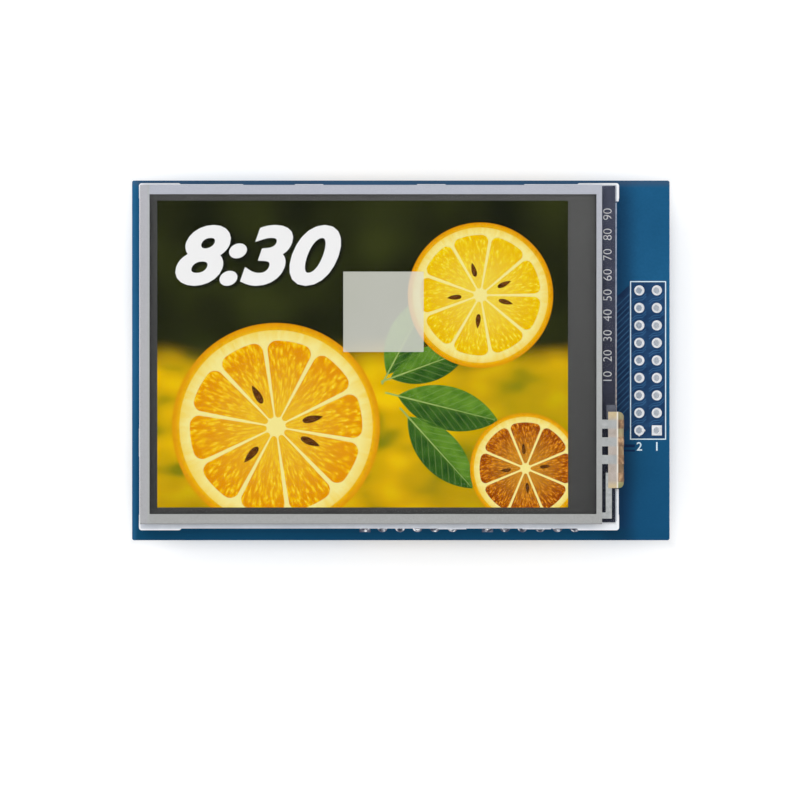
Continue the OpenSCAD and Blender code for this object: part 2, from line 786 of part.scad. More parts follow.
// Side view of the flex: bonded to the ledge, folded under the frame, bent down to its foot
module display_flex_strip() {
    bond_x = array[1].x - flex_bond_w;
    z_under = z_display - flex_t;
    translate([bond_x, z_cell]) square([fold_x - bond_x, flex_t]);
    translate([fold_x, z_cell - fold_r]) bend(fold_r, flex_t, 0);
    translate([fold_x + fold_r, z_display + fold_r]) square([flex_t, z_cell - z_display - 2 * fold_r]);
    translate([fold_x, z_display + fold_r]) bend(fold_r, flex_t, 270);
    translate([bend_x, z_under]) square([fold_x - bend_x, flex_t]);
    translate([bend_x, z_under - bend_r]) bend(bend_r, flex_t, 90);
    translate([foot_x, z_under - bend_r]) bend(bend_r, flex_t, 270);
    translate([foot_x - flex_foot_l, z_land]) square([flex_foot_l, flex_t]);
}

module display_flex() {
    color("goldenrod") difference() {
        across(flex_w, flex_y) display_flex_strip();
        for (sy = [-1, 1]) translate([0, flex_y, z_board_top]) linear_extrude(tape_t + fit) polygon([
            [fold_x - fold_r, sy * (flex_w / 2 + cut)], [fold_x - fold_r, sy * flex_w / 2],
            [fold_x - fold_r - flex_shoulder, sy * flex_foot_w / 2],
            [foot_x - flex_foot_l - cut, sy * flex_foot_w / 2],
            [foot_x - flex_foot_l - cut, sy * (flex_w / 2 + cut)]
        ]);
    }
}

module flex_solder() {
    foot_pads = floor(flex_foot_w / foot_pitch);
    foot_pad = [flex_foot_l - tape_margin, foot_pad_w];
    tail_pad = [1.5, trace_w];
    color("silver") translate([0, 0, z_board_top]) linear_extrude(z_land - z_board_top) {
        for (i = [0:foot_pads - 1])
            translate([foot_x - flex_foot_l / 2, flex_y + (i - (foot_pads - 1) / 2) * foot_pitch])
                square(foot_pad, center = true);
        for (i = [0:3]) translate([tail_low_end + tail_pad.x / 2, trace_y(i)])
            square(tail_pad, center = true);
    }
}

// Touch panel

// Middle of trace i, from the return trace up
function trace_y(i) = tail_y - trace_drop + (i - 1.5) * trace_pitch;

module touch_gasket() {
    opening = [window[0] - [fit, fit], [filter[1].x, window[1].y + fit]];
    outer = [touch[0] + [fit, gasket_bottom], touch[1] - [fit, fit]];
    color("black") ring(outer, opening, z_frame_top, z_touch);
}

module touch_glass() {
    color("lightcyan", 0.3) block(touch, z_touch, z_bond);
}

module touch_border() {
    color("lightgray") ring([touch[0], [border_end, touch[1].y]], window, z_bond, z_film);
}

module touch_traces() {
    return_x = tail_end - return_step;
    return_y = touch[0].y + return_margin;
    color("silver") {
        for (i = [1:3]) translate([border_end, trace_y(i) - trace_w / 2, z_bond])
            cube([tail_end - border_end, trace_w, touch_bond_t]);
        translate([0, 0, z_bond]) linear_extrude(touch_bond_t) polygon([
            [border_end, return_y], [return_x + return_trace_w, return_y],
            [return_x + return_trace_w, tail_y - tail_w / 2], [tail_end, tail_y - tail_w / 2],
            [tail_end, trace_y(0) + trace_w / 2], [return_x, trace_y(0) + trace_w / 2],
            [return_x, return_y + return_trace_w], [border_end, return_y + return_trace_w]
        ]);
    }
}

module touch_film() {
    color("aliceblue", 0.2) block(touch, z_film, z_film + touch_film_t);
}

// Side view of the tail: bonded under the film, folded down outside the frame, soldered to the board
module touch_tail_strip() {
    z_top = z_bond - tail_r;
    z_low = z_land + touch_bond_t + tail_r;
    translate([tail_end, z_bond]) square([tail_fold_x - tail_end, touch_bond_t]);
    translate([tail_fold_x, z_top]) bend(tail_r, touch_bond_t, 0);
    translate([tail_fold_x + tail_r, z_low]) square([touch_bond_t, z_top - z_low]);
    translate([tail_fold_x, z_low]) bend(tail_r, touch_bond_t, 270);
    translate([tail_low_end, z_land]) square([tail_fold_x - tail_low_end, touch_bond_t]);
}

// The tail narrows where it folds, so it has round corners when seen from above
module touch_tail() {
    outer_x = tail_fold_x + tail_r + touch_bond_t;
    plan = [2 * (outer_x - tail_low_end), tail_w];
    color("sandybrown") intersection() {
        across(tail_w, tail_y) touch_tail_strip();
        translate([tail_low_end, tail_y, z_land])
            linear_extrude(z_film - z_land) rounded_rect(plan, tail_corner_r);
    }
}

module tail_copper() {
    z_top = z_bond - tail_r;
    z_low = z_land + touch_bond_t + tail_r;
    outer_r = tail_r + touch_bond_t;
    start_x = touch[1].x + fit;
    color("peru") for (i = [0:3]) across(trace_w, trace_y(i)) {
        translate([start_x, z_film]) square([tail_fold_x - start_x, copper_t]);
        translate([tail_fold_x, z_top]) bend(outer_r, copper_t, 0);
        translate([tail_fold_x + outer_r, z_low]) square([copper_t, z_top - z_low]);
    }
}

// Loose corner of the bonding film above the tail, with a strip down the tail's end to the first trace
module tail_patch() {
    top_y = tail_y + tail_w / 2;
    strip_l = top_y - trace_y(3) - trace_w / 2 - fit;
    start = [tail_end - patch_side, top_y];
    color("gray") translate([0, 0, z_bond]) linear_extrude(touch_bond_t) {
        translate(start) square([touch[1].x - start.x, patch_w]);
        translate(start - [0, strip_l]) square([patch_side, strip_l + cut]);
    }
}

// Card socket, drawn from its mouth at x = 0, standing on z = 0

module card_socket_shell() {
    inner_w = socket_w - 2 * shell_t;
    tongue = [5, 1.4];
    tongue_gap = 0.4;
    foot_l = 2.5;
    finger_r = 3;
    color("silver") below(socket) difference() {
        translate([0, -socket_w / 2, 0]) cube([socket_l, socket_w, socket_h]);
        translate([-cut, -inner_w / 2, -cut])
            cube([socket_l - shell_t + cut, inner_w, socket_h - shell_t + cut]);
        translate([-0.3 * finger_r, 0, 0]) cylinder(r = finger_r, h = socket_h + cut);
        translate([foot_l, -socket_w / 2 - cut, -cut])
            cube([socket_l - 2 * foot_l, socket_w + 2 * cut, socket_h / 3 + cut]);
        translate([socket_l / 2, -inner_w / 2 + foot_l / 2, -cut])
            cube([socket_l, inner_w - foot_l, socket_h / 2 + cut]);
        for (sy = [-1, 1]) translate([socket_l / 2, sy * socket_w / 4, socket_h / 2])
            linear_extrude(socket_h) difference() {
                square([tongue.x, tongue.y], center = true);
                translate([tongue_gap, 0]) square([tongue.x, tongue.y - 2 * tongue_gap], center = true);
            }
    }
}

module card_socket_base() {
    inner = [socket_l - shell_t, socket_w - 2 * shell_t, socket_h - shell_t];
    channel_w = card_w + 2 * card_play;
    rear_wall = 1.2;
    slot_l = 8.8;
    slot_w = contact_w + fit;
    color("dimgray") below(socket) difference() {
        translate([fit, -inner.y / 2, 0]) cube([inner.x - fit, inner.y, inner.z]);
        translate([-cut, -channel_w / 2, socket_floor_t])
            cube([inner.x - rear_wall + cut, channel_w, inner.z]);
        for (i = [0:contact_count - 1]) translate([inner.x - slot_l, contact_y(i) - slot_w / 2, -cut])
            cube([slot_l + cut, slot_w, cut + socket_floor_t + fit]);
    }
}

function contact_y(i) = (i - (contact_count - 1) / 2) * contact_pitch;

// Spring contacts: a soldered foot behind the socket, a strip in its slot and a raised nose
module card_socket_contacts() {
    t = 0.12;
    foot = 0.7;
    root = 4.5;
    nose = 7.5;
    tip = 8.3;
    nose_h = 0.55 * socket_h;
    color("goldenrod") below(socket) for (i = [0:contact_count - 1]) across(contact_w, contact_y(i))
        translate([socket_l, 0]) polygon([
            [foot, 0], [-root, 0], [-nose, nose_h - t], [-tip, nose_h - 3 * t],
            [-tip, nose_h - 2 * t], [-nose, nose_h], [-root, t], [foot, t]
        ]);
}

// Chips and small parts, each drawn standing on z = 0

module moulded_body(l, w, z0, h) {
    two_views(l, w) {
        polygon(moulded_outline(l, z0, h));
        polygon(moulded_outline(w, z0, h));
    }
}
function moulded_outline(l, z0, h, draft = 0.08) =
    let (x = l / 2, middle_z = z0 + h / 2, band = lead_t / 2)
    [[draft - x, z0], [x - draft, z0], [x, middle_z - band], [x, middle_z + band],
     [x - draft, z0 + h], [draft - x, z0 + h], [-x, middle_z + band], [-x, middle_z - band]];

// Gull-wing lead in side view: leaves the body at x = start and height z, and ends in a foot on the board
function gull_outline(start, z, reach) =
    let (half = lead_t / 2, knee = start + reach / 3, heel = start + reach / 2)
    [[start, z + half], [knee, z + half], [heel, lead_t], [start + reach, lead_t],
     [start + reach, 0], [heel - half, 0], [knee - half, z - half], [start, z - half]];

// A row of leads along X on the side that faces +Y
module gull_row(xs, w, start, z, reach) {
    for (x = xs) translate([x, 0, 0]) rotate([90, 0, 90]) linear_extrude(w, center = true)
        polygon(gull_outline(start, z, reach));
}

function spread(count, step) = [for (i = [0:count - 1]) (i - (count - 1) / 2) * step];

module buffer_chip(at) {
    dimple = [0.3, 0.1];
    color("darkslategray") below(at) difference() {
        moulded_body(chip_l, chip_w, chip_standoff, chip_h);
        translate([-chip_l / 2 + 3 * dimple.x, -chip_w / 2 + 3 * dimple.x, chip_standoff + chip_h - dimple.y])
            cylinder(r = dimple.x, h = cut);
    }
}

module buffer_chip_leads() {
    z = chip_standoff + chip_h / 2;
    color("silver") for (at = chips) below(at) for (side = [0, 1]) mirror([0, side, 0])
        gull_row(spread(chip_leads, chip_pitch), chip_lead_w, chip_w / 2, z, chip_lead_reach);
}

module regulator() {
    color("darkslategray") below(regulator_at) moulded_body(regulator_l, regulator_w, 0, regulator_h);
}

module regulator_leads() {
    y = regulator_w / 2;
    z = regulator_h / 2;
    color("silver") below(regulator_at) {
        gull_row(spread(3, regulator_pitch), regulator_lead_w, y, z, regulator_reach);
        mirror([0, 1, 0]) gull_row([0], regulator_tab_w, y, z, regulator_reach);
    }
}

module transistor() {
    color("darkslategray") below(transistor_at) moulded_body(transistor_l, transistor_w, 0, transistor_h);
}

module transistor_leads() {
    y = transistor_w / 2;
    z = transistor_h / 2;
    color("silver") below(transistor_at) {
        gull_row(spread(2, transistor_pitch), transistor_lead_w, y, z, transistor_reach);
        mirror([0, 1, 0]) gull_row([0], transistor_lead_w, y, z, transistor_reach);
    }
}

module smd_bodies(sites, h) {
    for (s = sites) below([s[0], s[1]], s[2]) translate([smd_end_l - smd_l / 2, -smd_w / 2, 0])
        cube([smd_l - 2 * smd_end_l, smd_w, h]);
}

module smd_ends(sites, h) {
    for (s = sites) below([s[0], s[1]], s[2]) for (x = [-smd_l / 2, smd_l / 2 - smd_end_l])
        translate([x, -smd_w / 2, 0]) cube([smd_end_l, smd_w, h]);
}

module chip_capacitors() {
    color("tan") smd_bodies(capacitors, capacitor_h);
}

module chip_capacitor_ends() {
    color("silver") smd_ends(capacitors, capacitor_h);
}

module chip_resistors() {
    color("black") smd_bodies(resistors, resistor_h);
}

module chip_resistor_ends() {
    color("silver") smd_ends(resistors, resistor_h);
}

module tantalum_capacitors() {
    color("gold") for (at = tantalums) below(at)
        moulded_body(tantalum_l - 2 * lead_t, tantalum_w, 0, tantalum_h);
}

module tantalum_ends() {
    end_w = 0.75 * tantalum_w;
    color("silver") for (at = tantalums) below(at) for (x = [-tantalum_l / 2, tantalum_l / 2 - lead_t])
        translate([x, -end_w / 2, 0]) cube([lead_t, end_w, 0.6 * tantalum_h]);
}

circuit_board();
board_expansion_pads();
expansion_outline();
header_pads();
header_solder();
header_base(power, analog_pins);  // power_header_base
header_base(analog, analog_pins);  // analog_header_base
header_base(digital_low, digital_pins);  // digital_low_header_base
header_base(digital_high, digital_pins);  // digital_high_header_base
header_pins(power, analog_pins);  // power_header_pins
header_pins(analog, analog_pins);  // analog_header_pins
header_pins(digital_low, digital_pins);  // digital_low_header_pins
header_pins(digital_high, digital_pins);  // digital_high_header_pins
foam_tape();
backlight_frame();
reflector_sheet();
light_guide();
diffuser_sheet();
prism_sheet_lower();
prism_sheet_upper();
backlight_flex();
backlight_lamps();
rim_tape();
rear_polarizer();
array_glass();
pixel_layer();
black_matrix();
filter_glass();
front_polarizer();
driver_chip();
ledge_tape();
display_flex();
flex_solder();
touch_gasket();
touch_glass();
touch_border();
touch_traces();
touch_film();
touch_tail();
tail_copper();
tail_patch();
card_socket_base();
card_socket_shell();
card_socket_contacts();
buffer_chip(chips[0]);  // buffer_chip_1
buffer_chip(chips[1]);  // buffer_chip_2
buffer_chip_leads();
regulator();
regulator_leads();
transistor();
transistor_leads();
chip_capacitors();
chip_capacitor_ends();
chip_resistors();
chip_resistor_ends();
tantalum_capacitors();
tantalum_ends();
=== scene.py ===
"""Looks of the display module: a lit screen under a touch panel, folded tails and a blue board with headers."""
import json
import math

import bmesh
import bpy
from mathutils import Matrix, Vector

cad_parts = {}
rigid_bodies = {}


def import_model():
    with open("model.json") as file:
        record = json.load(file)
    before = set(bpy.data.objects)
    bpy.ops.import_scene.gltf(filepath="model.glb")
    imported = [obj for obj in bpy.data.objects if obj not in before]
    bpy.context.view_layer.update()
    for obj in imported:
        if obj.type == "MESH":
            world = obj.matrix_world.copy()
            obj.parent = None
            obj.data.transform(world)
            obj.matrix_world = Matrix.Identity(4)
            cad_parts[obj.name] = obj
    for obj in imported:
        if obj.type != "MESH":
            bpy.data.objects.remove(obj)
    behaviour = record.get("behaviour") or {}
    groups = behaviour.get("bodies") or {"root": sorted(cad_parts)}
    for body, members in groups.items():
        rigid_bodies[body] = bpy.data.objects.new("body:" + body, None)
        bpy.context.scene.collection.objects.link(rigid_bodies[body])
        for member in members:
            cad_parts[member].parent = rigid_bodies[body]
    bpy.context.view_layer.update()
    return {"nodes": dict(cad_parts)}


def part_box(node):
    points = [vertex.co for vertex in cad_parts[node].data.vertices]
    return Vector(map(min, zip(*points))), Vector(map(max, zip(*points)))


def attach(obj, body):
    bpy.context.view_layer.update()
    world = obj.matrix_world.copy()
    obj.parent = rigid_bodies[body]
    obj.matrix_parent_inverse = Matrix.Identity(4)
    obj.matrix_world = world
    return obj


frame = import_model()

MM = 0.001


def having(thing, **settings):
    """The thing, with these settings."""
    for key, value in settings.items():
        setattr(thing, key, value)
    return thing


# ---------------- places, all in millimetres

def frame_object(node):
    return bpy.data.objects[NODE_OBJECTS[node]]


def box(node):
    """Lowest and highest corner of a CAD node."""
    low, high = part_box(node)
    return low / MM, high / MM


def middle(node):
    low, high = box(node)
    return (low + high) / 2


def extent(points):
    """Lowest and highest corner of some points."""
    return tuple(Vector([pick(p[i] for p in points) for i in range(3)]) for pick in (min, max))


def islands(node):
    """The box of each separate solid in a CAD node, in order of place."""
    mesh = frame_object(node).data
    owner = list(range(len(mesh.vertices)))

    def root(i):
        while owner[i] != i:
            owner[i] = owner[owner[i]]
            i = owner[i]
        return i

    first_at = {}
    for v in mesh.vertices:
        key = tuple(round(c * 1e7) for c in v.co)
        owner[v.index] = first_at.setdefault(key, v.index)
    for edge in mesh.edges:
        a, b = edge.vertices
        owner[root(a)] = root(b)
    groups = {}
    for v in mesh.vertices:
        groups.setdefault(root(v.index), []).append(v.co / MM)
    return sorted(map(extent, groups.values()), key=lambda b: tuple(round(c, 2) for c in b[0]))


def middles(node):
    return [(low + high) / 2 for low, high in islands(node)]


NODE_OBJECTS = {name: getattr(obj, "name", obj) for name, obj in frame["nodes"].items()}

board_low, board_high = box("circuit_board")
z_board, z_board_top = board_low.z, board_high.z
frame_low, frame_high = box("backlight_frame")
glass_low, glass_high = box("touch_glass")
picture_low, picture_high = box("pixel_layer")
picture_mid = (picture_low + picture_high) / 2
HEADERS = ("power", "analog", "digital_low", "digital_high")


# ---------------- colours and node graphs

def rgb(*levels):
    """Linear colour from the usual 0 to 255 levels."""
    return tuple(((c / 255 + 0.055) / 1.055) ** 2.4 if c > 10 else c / 3295 for c in levels) + (1,)


class Graph:
    """A material, or the world, and the nodes that feed its shader."""

    def __init__(self, block, shader="Principled BSDF", **sockets):
        self.block = bpy.data.materials.new(block) if isinstance(block, str) else block
        self.block.use_nodes = True
        self.tree = self.block.node_tree
        self.shader = self.tree.nodes[shader]
        self.put(self.shader, sockets)

    def put(self, node, sockets):
        for key, value in sockets.items():
            socket = node.inputs[key if isinstance(key, int) else key.replace("_", " ")]
            if isinstance(value, bpy.types.NodeSocket):
                self.tree.links.new(value, socket)
            else:
                socket.default_value = value

    def add(self, kind, sockets, **settings):
        node = having(self.tree.nodes.new("ShaderNode" + kind), **settings)
        self.put(node, sockets)
        return node

    def coords(self, output="Object"):
        return self.add("TexCoord", {}).outputs[output]

    def scaled(self, *factors):
        return self.add("VectorMath", {0: self.coords(), 1: factors}, operation="MULTIPLY").outputs[0]

    def axes(self, vector):
        return self.add("SeparateXYZ", {0: vector}).outputs

    def mm(self):
        """X, Y and Z in millimetres."""
        return self.axes(self.scaled(1 / MM, 1 / MM, 1 / MM))

    def math(self, operation, *values):
        return self.add("Math", dict(enumerate(values)), operation=operation).outputs[0]

    def plus(self, a, b):
        return self.math("ADD", a, b)

    def minus(self, a, b):
        return self.math("SUBTRACT", a, b)

    def times(self, a, b):
        return self.math("MULTIPLY", a, b)

    def absolute(self, a):
        return self.math("ABSOLUTE", a)

    def highest(self, first, *others):
        for other in others:
            first = self.math("MAXIMUM", first, other)
        return first

    def rays(self, *kinds):
        """1 for a ray of any of these kinds, otherwise 0."""
        path = self.add("LightPath", {}).outputs
        return self.highest(*(path[kind] for kind in kinds))

    def noise(self, scale, vector=None, detail=3, roughness=0.55):
        sockets = {"Scale": scale, "Detail": detail, "Roughness": roughness, "Vector": vector or self.coords()}
        return self.add("TexNoise", sockets).outputs[0]

    def stretched(self, *factors, detail=3):
        """Noise with its own scale along each axis."""
        return self.noise(1, self.scaled(*factors), detail)

    def cells(self, scale, vector=None):
        return self.add("TexVoronoi", {"Scale": scale, "Vector": vector or self.coords()}).outputs["Distance"]

    def remap(self, value, low, high, new_low=0.0, new_high=1.0, kind="LINEAR"):
        sockets = {0: value, 1: low, 2: high, 3: new_low, 4: new_high}
        return self.add("MapRange", sockets, interpolation_type=kind).outputs[0]

    def ease(self, *values):
        """Like remap, with soft ends."""
        return self.remap(*values, kind="SMOOTHSTEP")

    def ramp(self, value, *stops):
        """Colours by a value; each stop is its place and then three levels."""
        node = self.add("ValToRGB", {0: value})
        marks = node.color_ramp.elements
        while len(marks) < len(stops):
            marks.new(0.5)
        for mark, (place, *levels) in zip(marks, stops):
            having(mark, position=place, color=rgb(*levels))
        return node.outputs[0]

    def mix(self, share, first, second):
        """The first colour, with a share of the second: a socket, or three levels."""
        second = rgb(*second) if isinstance(second, tuple) else second
        return self.add("Mix", {0: share, 6: first, 7: second}, data_type="RGBA").outputs[2]

    def surface(self, color, grain, rough_low, rough_high):
        self.put(self.shader, {"Base_Color": color, "Roughness": self.remap(grain, 0.3, 0.7, rough_low, rough_high)})
        return self

    def bump(self, height, strength, depth):
        node = self.add("Bump", {"Height": height, "Strength": strength, "Distance": depth * MM})
        self.put(self.shader, {"Normal": node.outputs[0]})
        return self


def mottled(name, dark, light, size, rough, grain=0.06, relief=0.0, **sockets):
    """A surface whose tone drifts over patches of the size given, with grain in its gloss and its relief."""
    g = Graph(name, **sockets)
    drift = g.noise(1 / (size * MM), detail=4)
    fine = g.noise(1 / (0.12 * size * MM), detail=2)
    g.surface(g.ramp(drift, (0.32, *dark), (0.68, *light)), fine, rough - grain, rough + grain)
    return g.bump(fine, 0.6, relief) if relief else g


def lit(name, build, alpha=1.0):
    """Part of the picture: it shines by itself, so its colour is what the screen shows."""
    g = Graph(name, Base_Color=(0, 0, 0, 1), Roughness=0.6, Specular_IOR_Level=0.0, Emission_Strength=1.0, Alpha=alpha)
    g.put(g.shader, {"Emission_Color": build(g)})
    return g


# ---------------- finishes

def gloss(level, relief=0.0):
    return {"Specular_IOR_Level": level, "relief": relief}


def metal(grain=0.06, relief=0.0, share=1.0):
    return {"Metallic": share, "grain": grain, "relief": relief}


# Dark and light tone, size of the patches in millimetres, roughness, and what else mottled() is told
PLAIN = {
    "bare_laminate": ((22, 54, 92), (34, 72, 112), 1.2, 0.42, gloss(0.08, 0.006)),
    # the tracked strip between display and pads is darker than the copper-backed board round it, and its darkness is
    # partly painted shade from the display beside it
    "shaded_laminate": ((18, 46, 80), (30, 62, 98), 1.6, 0.42, gloss(0.08, 0.006)),
    "covered_track": ((38, 86, 130), (58, 104, 150), 1, 0.38, gloss(0.1, 0.004)),
    "faint_track": ((34, 74, 112), (50, 92, 130), 1.5, 0.38, gloss(0.1, 0.004)),
    "bottom_track": ((40, 110, 156), (54, 126, 172), 1.2, 0.38, gloss(0.12, 0.004)),
    "sunk_track": ((10, 40, 78), (16, 50, 90), 1.2, 0.4, gloss(0.06, 0.004)),
    "print_ink": ((208, 236, 252), (232, 247, 255), 0.8, 0.55, {"relief": 0.008}),
    "pale_print": ((204, 206, 208), (226, 227, 229), 0.6, 0.55, gloss(0.1, 0.006)),
    "tinned": ((206, 208, 212), (236, 237, 240), 0.5, 0.26, metal(0.1, 0.01)),
    "shaded_tin": ((62, 70, 92), (112, 118, 136), 0.5, 0.34, metal(0.1, 0.01, 0.5)),
    "bright_solder": ((178, 180, 184), (226, 228, 232), 0.35, 0.2, metal(0.09, 0.02)),
    "gold_pin": ((206, 160, 76), (236, 196, 116), 0.9, 0.24, metal(0.07, 0.006)),
    "header_plastic": ((17, 17, 19), (29, 29, 31), 1.2, 0.52, {"relief": 0.02}),
    "mirror_film": ((228, 232, 236), (246, 248, 250), 3, 0.12, {"Metallic": 0.5}),
    "clear_acrylic": ((208, 226, 234), (228, 240, 246), 4, 0.08, {"grain": 0.03, "Alpha": 0.6}),
    "matt_film": ((226, 226, 222), (244, 244, 240), 1.5, 0.7, {"Alpha": 0.9}),
    "lamp_body": ((236, 226, 170), (248, 244, 214), 0.5, 0.35, {}),
    "black_tape": ((17, 18, 22), (30, 31, 36), 1, 0.6, {"relief": 0.01}),
    "thin_glass": ((206, 226, 226), (222, 238, 238), 6, 0.06, {"grain": 0.02, "Alpha": 0.14}),
    "touch_glass": ((22, 26, 27), (30, 34, 35), 8, 0.05, {"grain": 0.02, "Alpha": 0.03}),
    "silver_ink": ((166, 170, 170), (190, 192, 192), 0.5, 0.42, metal(relief=0.01, share=0.2)),
    "grey_film": ((76, 80, 94), (98, 102, 116), 0.7, 0.4, {"Alpha": 0.85}),
    "socket_plastic": ((22, 22, 24), (36, 36, 38), 1, 0.55, {"relief": 0.012}),
    "spring_metal": ((196, 156, 84), (228, 190, 116), 0.6, 0.25, metal()),
    "chip_plastic": ((28, 29, 31), (42, 43, 45), 0.5, 0.6, {"relief": 0.012}),
    "silicon": ((84, 86, 98), (112, 114, 126), 0.7, 0.25, metal(share=0.4)),
    "tan_ceramic": ((160, 126, 90), (190, 156, 118), 0.4, 0.45, {"relief": 0.008}),
    "black_ceramic": ((20, 20, 24), (34, 34, 40), 0.4, 0.3, {"relief": 0.006}),
    "yellow_epoxy": ((214, 160, 48), (234, 188, 78), 0.7, 0.35, {"relief": 0.008}),
    "polarity_bar": ((120, 74, 22), (146, 96, 36), 0.6, 0.4, {}),
}

# Lit tones: scale of their noise, dark and light stop, share of cover
LIT = {
    "leaf_rib": (700, (0.3, 140, 170, 82), (0.7, 176, 198, 112), 1.0),
    "clock_digits": (120, (0.2, 250, 250, 250), (0.8, 255, 255, 255), 1.0),
    "digit_shade": (200, (0.3, 14, 16, 10), (0.7, 22, 26, 14), 0.55),
    "touch_mark": (60, (0.2, 226, 228, 214), (0.8, 240, 240, 230), 0.43),
}

SPECIAL = {}
MADE = {}


def finish(function):
    """Registers a function that makes a finish of its own name."""
    SPECIAL[function.__name__] = function
    return function


def material(name):
    """The finish of that name, made once."""
    if name not in MADE:
        if name in PLAIN:
            dark, light, size, rough, more = PLAIN[name]
            g = mottled(name, dark, light, size, rough, **more)
        elif name in LIT:
            scale, dark, light, alpha = LIT[name]
            g = lit(name, lambda g: g.ramp(g.noise(scale), dark, light), alpha)
        else:
            g = SPECIAL[name](name)
        MADE[name] = g.block
    return MADE[name]


@finish
def solder_mask(name):
    """Blue coat, with the frame's shade painted on it beside the frame's right end and under its lower edge; the sawn
    edge shows pale fibre between two blue lines.
    """
    g = Graph(name, Specular_IOR_Level=0.06)
    x, y, z = g.mm()
    weave = g.stretched(2600, 2600, 400, detail=1)
    tone = g.plus(g.times(g.noise(70, detail=5, roughness=0.6), 0.8), g.times(weave, 0.2))
    coat = g.ramp(tone, (0.3, 20, 82, 122), (0.5, 26, 90, 132), (0.7, 32, 98, 142))
    coat = g.mix(g.ease(y, -26, 12, 0.6, 0.0), coat, (4, 66, 104))
    # painted shade of the frame on the board: beside its right end and under its lower edge; the board is also greyer
    # above the frame and lighter along its left edge
    beside = g.times(g.remap(y, frame_low.y, frame_high.y, 0.66, 0.38),
                     g.ease(g.absolute(g.minus(x, frame_high.x)), 0.4, 3.4, 1.0, 0.0))
    below = g.times(g.remap(y, frame_low.y + 0.5, frame_low.y - 0.2, 0.0, 0.55),
                    g.remap(x, frame_high.x, frame_high.x + 3, 1.0, 0.2))
    above = g.remap(y, frame_high.y - 0.5, frame_high.y + 0.2, 0.0, 0.5)
    left_edge = g.ease(x, board_low.x + 0.2, board_low.x + 0.9, 0.4, 0.0)
    top = coat
    for share, color in ((beside, (15, 42, 76)), (below, (0, 63, 90)), (above, (72, 84, 104)),
                         (left_edge, (50, 112, 158))):
        top = g.mix(share, top, color)
    facing = g.axes(g.coords("Normal"))[2]
    coat = g.mix(g.remap(facing, 0.2, 0.6), coat, top)
    sawn = g.times(g.remap(g.absolute(facing), 0.2, 0.6, 1.0, 0.0),
                   g.remap(g.absolute(g.minus(z, (z_board + z_board_top) / 2)), 0.68, 0.74, 1.0, 0.0))
    fibre = g.ramp(g.stretched(500, 500, 9000, detail=2), (0.35, 160, 162, 132), (0.65, 194, 193, 162))
    return g.surface(g.mix(sawn, coat, fibre), weave, 0.32, 0.46).bump(weave, 0.35, 0.01)


@finish
def cone_solder(name):
    """Solder round a header's pin, with painted shade and painted highlights on it in dark and bright patches laid by
    noise.
    """
    g = Graph(name, Metallic=0.7)
    tone = g.noise(1500, detail=2)
    color = g.ramp(tone, (0.42, 66, 70, 86), (0.52, 150, 152, 162), (0.6, 250, 250, 252))
    return g.surface(color, tone, 0.34, 0.18).bump(tone, 0.4, 0.03)


@finish
def foam(name):
    g = mottled(name, (28, 28, 30), (52, 52, 54), 0.5, 0.85)
    return g.bump(g.cells(4200), 0.8, 0.06)


@finish
def white_plastic(name):
    """Moulded frame: cool grey on its flat lip, which is painted shade of the touch glass above it; white where pads
    and tabs stand out and round the right end.
    """
    g = Graph(name, Subsurface_Weight=0.1, Subsurface_Radius=(0.001, 0.001, 0.001), Subsurface_Scale=0.5,
              Specular_IOR_Level=0.35)
    x, y, z = g.mm()
    low, high = frame_low, frame_high
    drift = g.noise(420, detail=4)
    fine = g.noise(3600, detail=2)
    # painted shade: the grey of the lip stands for the shade under the glass's edge
    lip = g.ramp(drift, (0.32, 206, 211, 220), (0.68, 219, 223, 232))
    white = g.ramp(drift, (0.32, 238, 242, 248), (0.68, 250, 251, 254))
    corner = g.times(g.remap(x, high.x - 8, high.x - 2, 0.0, 0.8), g.remap(y, low.y + 1.4, low.y + 1.2))
    rim = g.highest(g.remap(y, high.y - 0.24, high.y - 0.2), g.remap(y, low.y + 0.24, low.y + 0.2),
                 g.remap(x, high.x - 0.36, high.x - 0.3), g.remap(x, low.x + 0.26, low.x + 0.2),
                 corner, g.remap(z, high.z - 0.3, high.z - 0.1, 1.0, 0.0))
    return g.surface(g.mix(rim, lip, white), fine, 0.34, 0.46).bump(fine, 0.6, 0.012)


@finish
def ridged_film(name):
    g = mottled(name, (206, 212, 222), (226, 232, 240), 3, 0.25, Alpha=0.8)
    return g.bump(g.math("PINGPONG", g.times(g.mm()[1], 6), 0.5), 0.5, 0.02)


@finish
def gasket_strip(name):
    """The dark foam gasket, bluish where it is seen through the edge of the touch glass."""
    g = Graph(name, Specular_IOR_Level=0.1, Roughness=0.7)
    rise = g.remap(g.mm()[1], glass_low.y, glass_high.y, 0.1, 0.9)
    tone = g.plus(rise, g.times(g.minus(g.noise(600), 0.5), 0.3))
    g.put(g.shader, {"Base_Color": g.ramp(tone, (0.0, 45, 47, 60), (0.5, 58, 61, 77), (1.0, 80, 84, 103))})
    return g.bump(g.noise(7000), 0.5, 0.01)


